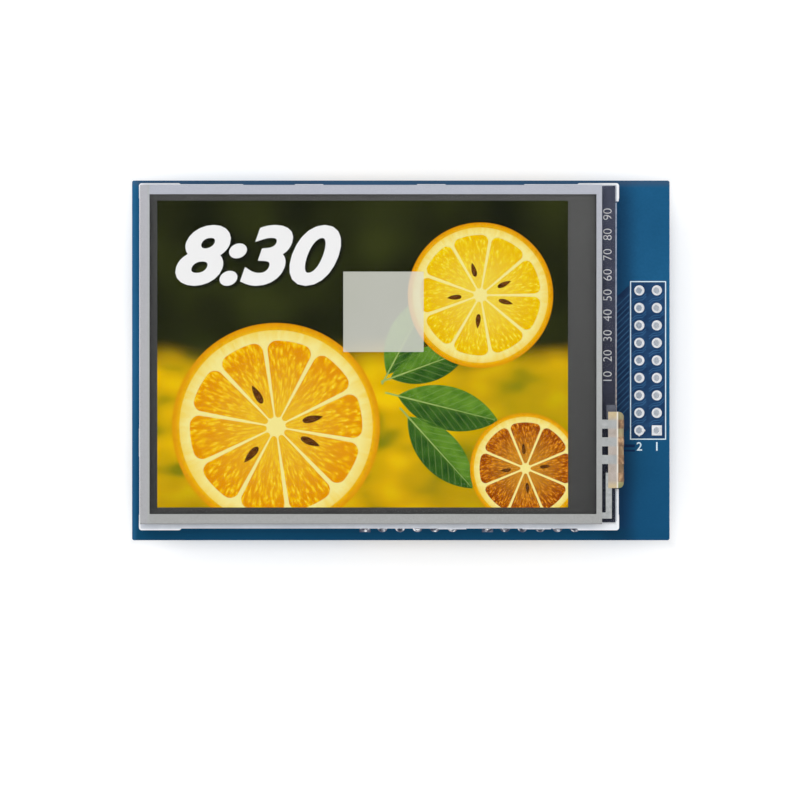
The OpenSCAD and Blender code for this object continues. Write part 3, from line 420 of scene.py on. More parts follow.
@finish
def dark_window(name):
    """The polarizer over the black mask: near black glass with a soft grey glow painted on it, lighter towards the top
    and right and along its top and bottom edges.
    """
    g = Graph(name, Specular_IOR_Level=0.08)
    x, y, z = g.mm()
    low, high = picture_low, picture_high
    rise = g.remap(y, low.y, high.y)
    # painted light: the grey glow and its gradients
    glow = g.plus(0.060, g.times(rise, 0.031))
    for part in (g.times(g.remap(x, low.x, high.x + 4), g.plus(0.012, g.times(rise, 0.016))),
                 g.remap(y, high.y - 0.05, high.y + 0.35, 0.0, 0.03),
                 g.remap(y, low.y + 0.05, low.y - 0.35, 0.0, 0.016),
                 g.times(g.minus(g.noise(300), 0.5), 0.01)):
        glow = g.plus(glow, part)
    color = g.add("CombineColor", {0: glow, 1: glow, 2: g.times(glow, 0.99)}).outputs[0]
    return g.surface(color, g.noise(900), 0.32, 0.42)


@finish
def touch_film(name):
    """Hard coat: nearly clear, with a fine silky grain."""
    g = mottled(name, (24, 26, 28), (32, 34, 36), 5, 0.18, grain=0.05, Alpha=0.03)
    return g.bump(g.noise(9000, detail=1), 0.15, 0.01)


@finish
def border_ink(name):
    """Grey print under the film, cooler at the top than at the bottom, with a fine printed dot."""
    g = Graph(name, Specular_IOR_Level=0.1)
    x, y, z = g.mm()
    low = glass_low
    rise = g.remap(y, low.y, glass_high.y)
    tone = g.ramp(rise, (0.0, 168, 169, 167), (0.5, 177, 180, 180), (1.0, 186, 189, 201))
    left_tone = g.ramp(rise, (0.0, 176, 176, 180), (1.0, 184, 183, 188))
    left_tone = g.mix(g.remap(x, low.x + 0.95, low.x + 1.1, 0.0, 0.5), left_tone, (176, 183, 176))
    tone = g.mix(g.remap(x, low.x + 1.2, low.x + 1.5, 0.8, 0.0), tone, left_tone)
    tone = g.mix(g.remap(g.cells(3600), 0.2, 0.7, 0.0, 0.10), tone, (214, 216, 222))
    # painted shade: a dark line along the panel's bottom edge
    tone = g.mix(g.remap(y, low.y + 0.02, low.y + 0.22, 0.5, 0.0), tone, (120, 122, 126))
    return g.surface(tone, g.noise(1500), 0.48, 0.6)


@finish
def amber_flex(name):
    """Pale film flex, with the faint lines of the copper below it."""
    g = Graph(name, Specular_IOR_Level=0.5)
    y = g.mm()[1]
    lines = g.math("PINGPONG", g.times(y, 2.5), 1.0)
    tone = g.ramp(lines, (0.35, 150, 138, 132), (0.65, 182, 170, 162))
    cloud = g.ramp(g.noise(1400), (0.35, 142, 158, 182), (0.65, 176, 190, 210))
    return g.surface(g.mix(g.ease(y, -12, 16), tone, cloud), g.noise(1200), 0.22, 0.36).bump(lines, 0.4, 0.02)


def bend_glint(g, x):
    """Painted highlight: the pale glint line where the tail leaves the glass."""
    edge = glass_high.x
    return g.times(g.ease(x, edge + 0.02, edge + 0.12), g.ease(x, edge + 0.22, edge + 0.32, 1.0, 0.0))


@finish
def bare_copper(name):
    """Copper lines round the fold, dull, with painted highlights in bright streaks and the film's painted glint along
    its bend.
    """
    g = Graph(name, Specular_IOR_Level=0.3, Metallic=0.1)
    spots = g.stretched(1500, 900, 900)
    copper_and_highlights = g.ramp(spots, (0.32, 104, 82, 62), (0.5, 146, 112, 82), (0.68, 206, 170, 130))
    color = g.mix(bend_glint(g, g.mm()[0]), copper_and_highlights, (222, 212, 198))
    return g.surface(color, spots, 0.3, 0.45).bump(spots, 0.6, 0.05)


@finish
def stamped_steel(name):
    """Plated sheet with the drawn lines of the press."""
    g = Graph(name, Metallic=1.0)
    drawn = g.stretched(400, 6000, 6000)
    color = g.ramp(g.noise(500), (0.3, 176, 178, 182), (0.7, 208, 210, 214))
    return g.surface(color, drawn, 0.24, 0.4).bump(drawn, 0.25, 0.01)


@finish
def tail_film(name):
    """Printed touch tail: pale where it is bonded, with grey bands over the silver lines, olive round the fold, where
    its brown is partly lighter along the ripples as painted highlights; a painted glint lies along its bend.
    """
    g = Graph(name, Specular_IOR_Level=0.3)
    x, y, z = g.mm()
    low, high = box("touch_tail")
    cloud = g.noise(900)
    film = g.ramp(cloud, (0.3, 176, 164, 154), (0.7, 196, 186, 178))
    grey = g.ramp(cloud, (0.3, 166, 170, 170), (0.7, 182, 184, 184))
    bands = [g.ease(g.absolute(g.minus(y, (a.y + b.y) / 2)), 0.45, 0.85, 1.0, 0.0)
             for a, b in islands("touch_traces") if b.y - a.y <= 3]
    flat = g.mix(g.highest(*bands), film, grey)
    ends = g.highest(g.ease(y, high.y - 1.5, high.y - 0.4, 0.0, 0.7), g.ease(y, low.y + 1.3, low.y + 0.2, 0.0, 0.7))
    flat = g.mix(ends, flat, (214, 192, 140))
    ripple = g.stretched(900, 420, 420, detail=2)
    # round the fold the film is brown, partly lighter along its ripples as painted highlights
    folded = g.ramp(ripple, (0.3, 104, 84, 60), (0.5, 144, 116, 84), (0.7, 190, 162, 124))
    olive = g.ramp(ripple, (0.3, 128, 118, 84), (0.7, 166, 156, 118))
    folded = g.mix(g.ease(y, high.y - 4.2, high.y - 2.4), folded, olive)
    green = g.ramp(ripple, (0.3, 116, 118, 72), (0.7, 164, 162, 112))
    folded = g.mix(g.ease(y, low.y + 1.4, low.y + 0.5), folded, green)
    color = g.mix(g.ease(x, glass_high.x + 0.1, glass_high.x + 0.35), flat, folded)
    # painted highlight: the glint along the bend
    color = g.mix(bend_glint(g, x), color, (232, 226, 214))
    return g.surface(color, cloud, 0.28, 0.42).bump(ripple, 0.5, 0.05)


@finish
def picture_ground(name):
    """Out-of-focus garden: dark olive above, gold with grey-green patches below."""
    def build(g):
        y = g.mm()[1]
        soft = g.noise(95, detail=1)
        dusk = g.ramp(soft, (0.3, 20, 24, 8), (0.5, 34, 38, 12), (0.72, 52, 58, 20))
        field = g.ramp(g.noise(150, g.scaled(1, 1.5, 1), detail=1), (0.28, 136, 132, 8), (0.42, 212, 172, 0),
                       (0.56, 236, 186, 0), (0.72, 250, 208, 0))
        patch = g.ease(g.noise(42, g.scaled(1, 1.6, 1), detail=0), 0.46, 0.68, 0.0, 0.4)
        field = g.mix(patch, field, (126, 128, 6))
        field = g.mix(g.ease(y, picture_low.y - 2, picture_low.y + 9, 0.25, 0.0), field, (160, 110, 4))
        horizon = g.plus(y, g.times(g.minus(soft, 0.5), 8))
        line = picture_mid.y - 0.5
        return g.mix(g.ease(horizon, line - 2.8, line + 2.8, 1.0, 0.0), dusk, field)
    return lit(name, build)


@finish
def leaf_blade(name):
    def build(g):
        x, y, z = g.mm()
        ribs = g.math("PINGPONG", g.plus(g.times(g.absolute(y), 0.9), g.times(x, -0.7)), 0.5)
        cloud = g.noise(500)
        sunny = g.ramp(cloud, (0.3, 70, 118, 30), (0.7, 112, 158, 50))
        shady = g.ramp(cloud, (0.3, 36, 76, 24), (0.7, 62, 106, 34))
        blade = g.mix(g.ease(y, -0.6, 0.6), shady, sunny)
        return g.mix(g.remap(ribs, 0.0, 0.12, 0.35, 0.0), blade, (150, 178, 92))
    return lit(name, build)


@finish
def seed_skin(name):
    return lit(name, lambda g: g.ramp(g.stretched(900, 2600, 1), (0.3, 62, 32, 10), (0.7, 128, 76, 24)))


def polar(g, radius):
    """Angle, and share of the radius, round the piece's own origin."""
    x, y, z = g.mm()
    distance = g.math("SQRT", g.plus(g.times(x, x), g.times(y, y)))
    return g.math("ARCTAN2", y, x), g.math("DIVIDE", distance, radius)


def rind(g, radius):
    share = polar(g, radius)[1]
    tone = g.ramp(g.remap(share, 0.9, 1.0), (0.0, 255, 206, 20), (1.0, 232, 150, 0))
    return g.mix(g.remap(g.cells(1700), 0.0, 0.5, 0.35, 0.0), tone, (170, 92, 8))


def pith(g, radius):
    angle, share = polar(g, radius)
    threads = g.noise(1, g.add("CombineXYZ", {0: g.times(angle, 14), 1: g.times(share, 3)}).outputs[0])
    shade = g.plus(share, g.times(g.minus(threads, 0.5), 0.25))
    return g.ramp(shade, (0.1, 255, 240, 150), (0.82, 255, 240, 150), (0.98, 252, 214, 70))


def pulp(g, radius, deep, body, bright):
    """Juice sacs: long drops that point at the middle of the slice."""
    angle, share = polar(g, radius)
    grid = g.add("CombineXYZ", {0: g.times(angle, 9.5), 1: g.times(share, 5.0)}).outputs[0]
    moved = g.add("VectorMath", {0: grid, 1: g.noise(3.0, grid, detail=2)}, operation="ADD").outputs[0]
    base = g.ramp(g.remap(g.cells(2.2, moved), 0.05, 0.6), (0.0, *bright), (0.45, *body), (1.0, *deep))
    return g.mix(g.ease(share, 0.1, 0.85, 0.35, 0.0), base, bright)


# ---------------- meshes

def new_object(name, data):
    obj = bpy.data.objects.new(name, data)
    bpy.context.scene.collection.objects.link(obj)
    return obj


def mesh_object(name, shape, look=None):
    mesh = bpy.data.meshes.new(name)
    shape.to_mesh(mesh)
    shape.free()
    if look:
        mesh.materials.append(look)
    return new_object(name, mesh)


def applied(obj):
    """A new mesh of an object as its modifiers, or its type, make it."""
    bpy.context.view_layer.update()
    return bpy.data.meshes.new_from_object(obj.evaluated_get(bpy.context.evaluated_depsgraph_get()))


def add_piece(name, shape, look, smooth=0.0):
    """Makes one piece from mesh code, gives it its finish and lets it ride on the module."""
    piece = mesh_object(name, shape, material(look))
    if smooth:
        for polygon in piece.data.polygons:
            polygon.use_smooth = True
        piece.data.set_sharp_from_angle(angle=math.radians(smooth))
    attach(piece, "root")
    return piece


def rectangle(x0, y0, x1, y1):
    return [(x0, y0), (x1, y0), (x1, y1), (x0, y1)]


def around(low, high, dx, dy=None):
    """The rectangle round a box seen from above, wider by the margins given."""
    dy = dx if dy is None else dy
    return rectangle(low.x - dx, low.y - dy, high.x + dx, high.y + dy)


def arc(cx, cy, r, start, end, count):
    """Points on an arc, from the start angle to the end angle in degrees."""
    steps = [math.radians(start + (end - start) * i / count) for i in range(count + 1)]
    return [(cx + r * math.cos(t), cy + r * math.sin(t)) for t in steps]


def circle(cx, cy, r, count):
    return arc(cx, cy, r, 0, 360, count)[:-1]


def turned(outline, degrees, at=(0, 0)):
    """An outline turned round the origin, then moved."""
    c, s = math.cos(math.radians(degrees)), math.sin(math.radians(degrees))
    return [(at[0] + x * c - y * s, at[1] + x * s + y * c) for x, y in outline]


def ring(shape, outline, z):
    return [shape.verts.new((x * MM, y * MM, z * MM)) for x, y in outline]


def skin(shape, *rings, closed=False):
    """Faces from ring to ring, with a cap at both ends, or closed from the last ring to the first."""
    if not closed:
        shape.faces.new(rings[-1][::-1])
        shape.faces.new(rings[0])
    for a, b in zip(rings, rings[1:] + (rings[:1] if closed else ())):
        for i in range(len(a)):
            j = (i + 1) % len(a)
            shape.faces.new((b[i], b[j], a[j], a[i]))


def prism(shape, outline, z0, z1):
    low, high = ring(shape, outline, z0), ring(shape, outline, z1)
    skin(shape, high, low)


def plates(outlines, z0, z1):
    """Mesh code of one or more plates of the same height."""
    shape = bmesh.new()
    for outline in outlines:
        prism(shape, outline, z0, z1)
    return shape


def band(shape, inner, outer, z0, z1):
    """Closed flat band between two outlines."""
    skin(shape, ring(shape, inner, z0), ring(shape, outer, z0), ring(shape, outer, z1), ring(shape, inner, z1),
         closed=True)


def track(shape, points, width, z0, z1):
    """Strip of even width along a bent line, with mitred corners and square ends."""
    points = [Vector(p) for p in points]
    sections = []
    for i, point in enumerate(points):
        before = (point - points[i - 1]).normalized() if i else None
        after = (points[i + 1] - point).normalized() if i + 1 < len(points) else None
        along = ((before or after) + (after or before)).normalized()
        normal = Vector((-along.y, along.x))
        stretch = normal.dot(Vector((-(after or before).y, (after or before).x)))
        offset = normal * width / 2 / max(stretch, 0.5)
        left, right = point + offset, point - offset
        sections.append(ring(shape, (left, right), z0) + ring(shape, (right, left), z1))
    skin(shape, *sections)


def lettering(name, text, corners, z0, z1, look, turn=0.0, slant=0.0, weight=0.0, free_axis=None):
    """Plain digits in the built-in type, fitted to a rectangle; along a free axis they keep their own width."""
    curve = having(bpy.data.curves.new(name + "_type", "FONT"), body=text, offset=weight, shear=slant,
                   extrude=0.5, resolution_u=5)
    holder = new_object(name + "_type", curve)
    mesh = applied(holder)
    shape = bmesh.new()
    shape.from_mesh(mesh)
    bpy.data.objects.remove(holder)
    bpy.data.curves.remove(curve)
    bpy.data.meshes.remove(mesh)
    bmesh.ops.remove_doubles(shape, verts=shape.verts, dist=1e-5)
    bmesh.ops.rotate(shape, verts=shape.verts, cent=(0, 0, 0), matrix=Matrix.Rotation(math.radians(turn), 3, "Z"))
    low, high = extent([v.co for v in shape.verts])
    target = [(corners[0], corners[2]), (corners[1], corners[3]), (z0, z1)]
    if free_axis is not None:
        fixed = 1 - free_axis
        size = (target[fixed][1] - target[fixed][0]) / (high[fixed] - low[fixed])
        centre = sum(target[free_axis]) / 2
        reach = (high[free_axis] - low[free_axis]) * size / 2
        target[free_axis] = (centre - reach, centre + reach)
    for v in shape.verts:
        for i, (a, b) in enumerate(target):
            v.co[i] = (a + (b - a) * (v.co[i] - low[i]) / (high[i] - low[i])) * MM
    return add_piece(name, shape, look)


# ---------------- the CAD nodes' finishes

HEADER_BASES = [header + "_header_base" for header in HEADERS]
HEADER_PINS = [header + "_header_pins" for header in HEADERS]

NODE_FINISHES = {
    "solder_mask": ["circuit_board"],
    "shaded_tin": ["header_pads"],
    "cone_solder": ["header_solder"],
    "tinned": ["board_expansion_pads", "buffer_chip_leads", "regulator_leads", "transistor_leads",
               "chip_capacitor_ends", "chip_resistor_ends", "tantalum_ends"],
    "print_ink": ["expansion_outline"],
    "bright_solder": ["flex_solder"],
    "header_plastic": HEADER_BASES,
    "gold_pin": HEADER_PINS,
    "foam": ["foam_tape"],
    "white_plastic": ["backlight_frame"],
    "mirror_film": ["reflector_sheet"],
    "clear_acrylic": ["light_guide"],
    "matt_film": ["diffuser_sheet"],
    "ridged_film": ["prism_sheet_lower", "prism_sheet_upper"],
    "lamp_body": ["backlight_lamps"],
    "black_tape": ["rim_tape", "ledge_tape", "black_matrix"],
    "gasket_strip": ["touch_gasket"],
    "dark_window": ["front_polarizer", "rear_polarizer"],
    "thin_glass": ["array_glass", "filter_glass"],
    "silicon": ["driver_chip"],
    "amber_flex": ["display_flex", "backlight_flex"],
    "touch_glass": ["touch_glass"],
    "touch_film": ["touch_film"],
    "border_ink": ["touch_border"],
    "silver_ink": ["touch_traces"],
    "tail_film": ["touch_tail"],
    "bare_copper": ["tail_copper"],
    "grey_film": ["tail_patch"],
    "socket_plastic": ["card_socket_base"],
    "stamped_steel": ["card_socket_shell"],
    "spring_metal": ["card_socket_contacts"],
    "chip_plastic": ["buffer_chip_1", "buffer_chip_2", "regulator", "transistor"],
    "tan_ceramic": ["chip_capacitors"],
    "black_ceramic": ["chip_resistors"],
    "yellow_epoxy": ["tantalum_capacitors"],
    "picture_ground": ["pixel_layer"],
}

# The nodes whose edges are softened, by the width of the soft edge in millimetres
SOFT_EDGES = {
    0.12: ["backlight_frame"],
    0.08: HEADER_BASES,
    0.06: ["circuit_board", "touch_glass", "card_socket_shell", "card_socket_base", "regulator",
           "tantalum_capacitors"],
    0.05: ["buffer_chip_1", "buffer_chip_2", "transistor", "chip_capacitors"],
    0.04: ["touch_film", "chip_capacitor_ends", "tantalum_ends"],
    0.03: ["chip_resistors", "chip_resistor_ends"] + HEADER_PINS,
}


def dress_nodes():
    for look, nodes in NODE_FINISHES.items():
        for node in nodes:
            mesh = frame_object(node).data
            mesh.materials.clear()
            mesh.materials.append(material(look))
    for width, nodes in SOFT_EDGES.items():
        for node in nodes:
            having(frame_object(node).modifiers.new("soft_edge", "BEVEL"), width=width * MM, segments=2,
                   limit_method="ANGLE", angle_limit=math.radians(40))


dress_nodes()
assert not set(frame["nodes"]) - {n for nodes in NODE_FINISHES.values() for n in nodes}


# ---------------- the picture on the screen

LAYER = 0.012        # the picture's layers lie one above the other under the touch glass
picture_z = box("front_polarizer")[1].z + 0.01

# Each fruit slice: its place from the picture's middle, radius, number of wedges, turn, and the deep, full and
# bright tone of its pulp
SLICES = [((-12.5, -10.5), 15, 10, 8, ((236, 150, 0), (255, 200, 0), (255, 232, 70))),
          ((17, 8.5), 10.5, 9, 20, ((244, 190, 0), (255, 222, 0), (255, 242, 110))),
          ((23.5, -16.5), 8, 8, 0, ((150, 66, 8), (226, 132, 12), (250, 190, 60)))]
# Each leaf: stalk end, direction, length
LEAVES = [((3.5, -3), 62, 13), ((4, -3.5), 20, 12), ((6.5, -9), -48, 14), ((5, -6), -14, 15)]


def clipped(shape, cx, cy):
    """Cuts a flat picture piece off at the picture's four edges. Its coordinates are round its own origin."""
    sides = [((picture_low.x - cx, 0), (-1, 0)), ((picture_high.x - cx, 0), (1, 0)),
             ((0, picture_low.y - cy), (0, -1)), ((0, picture_high.y - cy), (0, 1))]
    for (px, py), (nx, ny) in sides:
        geometry = shape.verts[:] + shape.edges[:] + shape.faces[:]
        bmesh.ops.bisect_plane(shape, geom=geometry, plane_co=(px * MM, py * MM, 0), plane_no=(nx, ny, 0),
                               clear_outer=True)
        open_edges = [e for e in shape.edges if e.is_boundary]
        if open_edges:
            bmesh.ops.holes_fill(shape, edges=open_edges)


def picture_piece(name, shape, look, at, layer, turn=0.0):
    """Places a picture piece that was drawn round its own origin."""
    piece = mesh_object(name, shape, material(look))
    piece.location = (at[0] * MM, at[1] * MM, (picture_z + layer * LAYER) * MM)
    piece.rotation_euler = (0, 0, math.radians(turn))
    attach(piece, "root")


def wedge_outline(radius, count):
    """A juice wedge with rounded corners, pointing at the origin."""
    half = 180 / count - 1.6
    corner = 0.09 * radius
    outer = 0.83 * radius
    swing = half - math.degrees(math.asin(corner / (outer - corner)))
    [(cx, cy)] = turned([(outer - corner, 0)], swing)
    end = half + 90 - 8
    return (arc(cx, -cy, corner, -end, -swing, 6) + arc(0, 0, outer, -swing, swing, 10)[1:-1]
            + arc(cx, cy, corner, swing, end, 6) + arc(0.12 * radius, 0, 0.03 * radius, half + 90, 270 - half, 4))


def fruit_slice(index, at, radius, count, turn, tones):
    """One slice: rind, pith, wedges and a few seeds, each a thin plate on the one below."""
    place = (picture_mid.x + at[0], picture_mid.y + at[1])
    for name, build in ((f"rind_{index}", lambda g: rind(g, radius)), (f"pith_{index}", lambda g: pith(g, radius)),
                        (f"pulp_{index}", lambda g: pulp(g, radius, *tones))):
        MADE[name] = lit(name, build).block
    wedge = wedge_outline(radius, count)
    seed = [(radius * (0.36 + 0.1 * math.cos(a)), 0.042 * radius * math.sin(a) * math.sin(a / 2) ** 0.7)
            for a in (2 * math.pi * k / 20 for k in range(20))]
    seeded = range(0, count, 2 if index else 3)
    parts = [("rind", f"rind_{index}", [circle(0, 0, radius, 96)]),
             ("pith", f"pith_{index}", [circle(0, 0, 0.93 * radius, 96)]),
             ("wedges", f"pulp_{index}", [turned(wedge, turn + 360 * i / count) for i in range(count)]),
             ("seeds", "seed_skin", [turned(seed, turn + 360 * (i + 0.12) / count) for i in seeded])]
    for layer, (part, look, outlines) in enumerate(parts):
        shape = plates(outlines, 0, LAYER)
        clipped(shape, *place)
        picture_piece(f"slice_{index}_{part}", shape, look, place, 1 + len(parts) * index + layer)


def leaf(index, at, direction, length):
    """One leaf with its middle rib, drawn along X from the stalk."""
    place = (picture_mid.x + at[0], picture_mid.y + at[1])
    r = 0.7 * length
    off = math.sqrt(r * r - length * length / 4)
    half = math.degrees(math.asin(length / 2 / r))
    below = arc(length / 2, off, r, 270 - half, 270 + half, 24)
    above = arc(length / 2, -off, r, 90 - half, 90 + half, 24)
    rib = [(length * t, 0.1 * (1 - t) + 0.02) for t in (-0.12, 0, 0.3, 0.6, 0.97)]
    for part, layer, outline in (("blade", 0, below[:-1] + above[:-1]),
                                 ("rib", 0.5, [(x, -y) for x, y in rib] + rib[::-1])):
        picture_piece(f"leaf_{index}_{part}", plates([outline], 0, LAYER), f"leaf_{part}", place, layer, direction)


def picture():
    add_piece("picture_ground", plates([around(picture_low, picture_high, 0)], picture_z - 0.008, picture_z),
              "picture_ground")
    for i, values in enumerate(LEAVES):
        leaf(i, *values)
    for i, values in enumerate(SLICES):
        fruit_slice(i, *values)
    x0, y0 = picture_low.x + 2.6, picture_high.y - 12.3
    x1, y1 = x0 + 23.9, y0 + 8.8
    z = picture_z + 2 * LAYER
    drop = 0.35          # the shade lies this far right of the digits and below them
    lettering("clock_digits", "8:30", (x0, y0, x1, y1), z + LAYER, z + 2 * LAYER,
              "clock_digits", slant=0.3, weight=0.035)
    lettering("clock_shade", "8:30", (x0 + drop, y0 - drop, x1 + drop, y1 - drop), z, z + LAYER / 2,
              "digit_shade", slant=0.3, weight=0.05)
    side = 11.6
    x0, y0 = picture_mid.x - 2.8, picture_mid.y + 0.3
    mark = plates([rectangle(x0, y0, x0 + side, y0 + side)], picture_z + 13.5 * LAYER, picture_z + 14 * LAYER)
    add_piece("touch_mark", mark, "touch_mark")


picture()


# ---------------- marks on the dark strip of the touch panel

def strip_scale():
    """Plain ruler numbers where such panels carry small print, read from the right side."""
    left = box("touch_border")[1].x + 0.2
    z = box("touch_gasket")[1].z
    width, height = 1.22, 0.9
    first_y, step = -2.3, 2.92
    for i in range(9):
        y = first_y + i * step
        lettering(f"strip_number_{i + 1}", str(10 * (i + 1)), (left, y - height / 2, left + width, y + height / 2),
                  z, z + 0.01, "pale_print", turn=90, weight=-0.012, free_axis=1)


strip_scale()


# ---------------- top of the board

COAT = 0.004         # thickness of a patch of coat on the board
RIDGE = 0.012        # height of a covered track on it


def drill(piece, cutter):
    """Takes the cutter's shape out of a piece."""
    tool = mesh_object("field_cutter", cutter)
    having(piece.modifiers.new("holes", "BOOLEAN"), object=tool, solver="EXACT")
    mesh = applied(piece)
    piece.modifiers.clear()
    piece.data = mesh
    bpy.data.objects.remove(tool)


def expansion_field():
    """Bare laminate inside the printed outline, its fine tracks, the teardrop pad and the pin numbers."""
    low, high = box("expansion_outline")
    pads = islands("board_expansion_pads")
    columns, rows = (sorted({round((a[i] + b[i]) / 2, 2) for a, b in pads}) for i in (0, 1))
    coat_top = z_board_top + COAT
    field = add_piece("laminate_field", plates([around(low, high, 0.05)], z_board_top, coat_top),
                      "bare_laminate")
    # round openings over the plated holes keep the field flat between them
    bore = 0.5
    holes = [circle(x, y, bore + 0.05, 24) for x in columns for y in rows]
    drill(field, plates(holes, z_board_top - 1, z_board_top + 1))

    # two tracks between each pair of neighbouring pads, bent round them
    shape = bmesh.new()
    pitch = 2.54
    for y in rows[:-1]:
        gap = y + pitch / 2
        for column in columns:
            for shift in (-0.18, 0.18):
                track(shape, [(column - 1.15, gap - 0.55 + shift), (column - 0.55, gap + shift * 0.9 - 0.05),
                              (column + 0.45, gap + shift * 0.9 + 0.05), (column + 1.0, gap + 0.6 + shift)],
                      0.11, coat_top, coat_top + RIDGE)
    add_piece("field_tracks", shape, "covered_track")

    # parallel tracks that leave the field at 45 degrees, towards the display
    left, right = frame_high.x - 0.3, low.x - 0.12
    run = right - left
    corners = [(left, -11.6), (right, -9.9), (right, 10.9), (left, 9.1)]
    add_piece("side_field", plates([corners], z_board_top, coat_top), "shaded_laminate")
    shape = bmesh.new()
    highest_y, spacing = 9.6, 0.86
    for i in range(20):
        y = highest_y - i * spacing
        track(shape, [(left, y - run), (right, y)], 0.16, coat_top, coat_top + RIDGE)
    add_piece("side_tracks", shape, "faint_track")
    shape = bmesh.new()
    for y, width in ((-12.4, 0.4), (-13.1, 0.26)):
        track(shape, [(left, y), (low.x + 0.7, y)], width, z_board_top, z_board_top + RIDGE)
    add_piece("lower_tracks", shape, "sunk_track")

    # the second pad has small teardrops, to the right and below
    shape = bmesh.new()
    x, y = columns[0], rows[0]
    pad_r = (pads[0][1].x - pads[0][0].x) / 2
    for direction in (0, 270):
        tip = turned([(pad_r + 0.16, 0)], direction, (x, y))
        prism(shape, arc(x, y, pad_r - 0.02, direction - 30, direction + 30, 8) + tip,
              z_board_top + 0.02, box("board_expansion_pads")[1].z)
    add_piece("pad_teardrop", shape, "tinned")

    top = low.y - 0.35
    for text, column in zip("21", columns):
        lettering(f"pin_number_{text}", text, (column - 0.4, top - 1.25, column + 0.4, top),
                  z_board_top, z_board_top + 0.03, "print_ink", weight=0.01, free_axis=0)


expansion_field()


# ---------------- below the board

LAND = 0.02          # thickness of lands, printed lines and rims of vias
z_land = z_board - LAND


def lands_and_fillets():
    """A tinned land under every end and lead below the board, with solder drawn up its side."""
    lands, fillets = bmesh.new(), bmesh.new()
    grow = 0.14
    # how far out the solder stands, as a share of the land's rim, at each share of its height
    profile = [(0.9, 0.0), (0.45, 0.35), (0.18, 0.75), (0.04, 1.0)]
    for node in ("chip_capacitor_ends", "chip_resistor_ends", "tantalum_ends"):
        for low, high in islands(node):
            prism(lands, around(low, high, grow), z_land, z_board)
            rise = 0.55 * (high.z - low.z)
            levels = [(around(low, high, grow * out), z_land - rise * share) for out, share in profile]
            for first, second in zip(levels, levels[1:]):
                skin(fillets, ring(fillets, *first), ring(fillets, *second))
    for node, chips, reach in (("buffer_chip_leads", ("buffer_chip_1", "buffer_chip_2"), 0.55),
                               ("regulator_leads", ("regulator",), 0.8), ("transistor_leads", ("transistor",), 0.8)):
        for low, high in islands(node):
            here = (low + high) / 2
            own = min((middle(chip) for chip in chips), key=lambda m: (m - here).length)
            y0, y1 = (low.y - 0.2, low.y + reach) if here.y < own.y else (high.y - reach, high.y + 0.2)
            prism(lands, rectangle(low.x - 0.05, y0, high.x + 0.05, y1), z_land, z_board)
    add_piece("bottom_lands", lands, "tinned")
    add_piece("solder_fillets", fillets, "bright_solder", smooth=60)


def end_pairs(node):
    """The box of each two-ended part, from its pair of end caps."""
    caps = islands(node)
    while caps:
        low, high = caps.pop(0)
        other = min(caps, key=lambda cap: (cap[0] + cap[1] - low - high).length)
        caps.remove(other)
        yield extent([low, high, *other])


def component_outlines():
    """Printed outlines round the parts below the board, and a dot at each chip's first lead."""
    shape = bmesh.new()
    line = 0.13

    def outlined(low, high, dx, dy):
        band(shape, around(low, high, dx - line, dy - line), around(low, high, dx, dy), z_land, z_board)

    for node, dx, dy in (("buffer_chip_1", 0.25, 0.25), ("buffer_chip_2", 0.25, 0.25), ("regulator", 0.3, 0.2)):
        outlined(*box(node), dx, dy)
    # the card socket's outline stays open where its contacts come out
    low, high = box("card_socket_shell")
    contacts_low, contacts_high = box("card_socket_contacts")
    side = high.x + 0.35
    for edge_y, end_y in ((low.y - 0.35, contacts_low.y - 0.4), (high.y + 0.35, contacts_high.y + 0.4)):
        track(shape, [(low.x, edge_y), (side, edge_y), (side, end_y)], line, z_land, z_board)
    for node, grow in (("chip_capacitor_ends", 0.35), ("chip_resistor_ends", 0.32), ("tantalum_ends", 0.4)):
        for low, high in end_pairs(node):
            outlined(low, high, grow, grow)
    for node in ("buffer_chip_1", "buffer_chip_2"):
        low = box(node)[0]
        place = (low.x - 0.75, low.y - 0.6)
        band(shape, circle(*place, 0.02, 16), circle(*place, 0.22, 16), z_land, z_board)
    add_piece("component_outlines", shape, "print_ink")


def chamfered(points, size):
    """Right-angled corners cut off at 45 degrees."""
    result = [Vector(points[0])]
    for before, corner, after in zip(points, points[1:], points[2:]):
        for other in (before, after):
            away = Vector(other) - Vector(corner)
            result.append(Vector(corner) + away.normalized() * min(size, 0.45 * away.length))
    result.append(Vector(points[-1]))
    return [p for i, p in enumerate(result) if i == 0 or (p - result[i - 1]).length > 0.01]


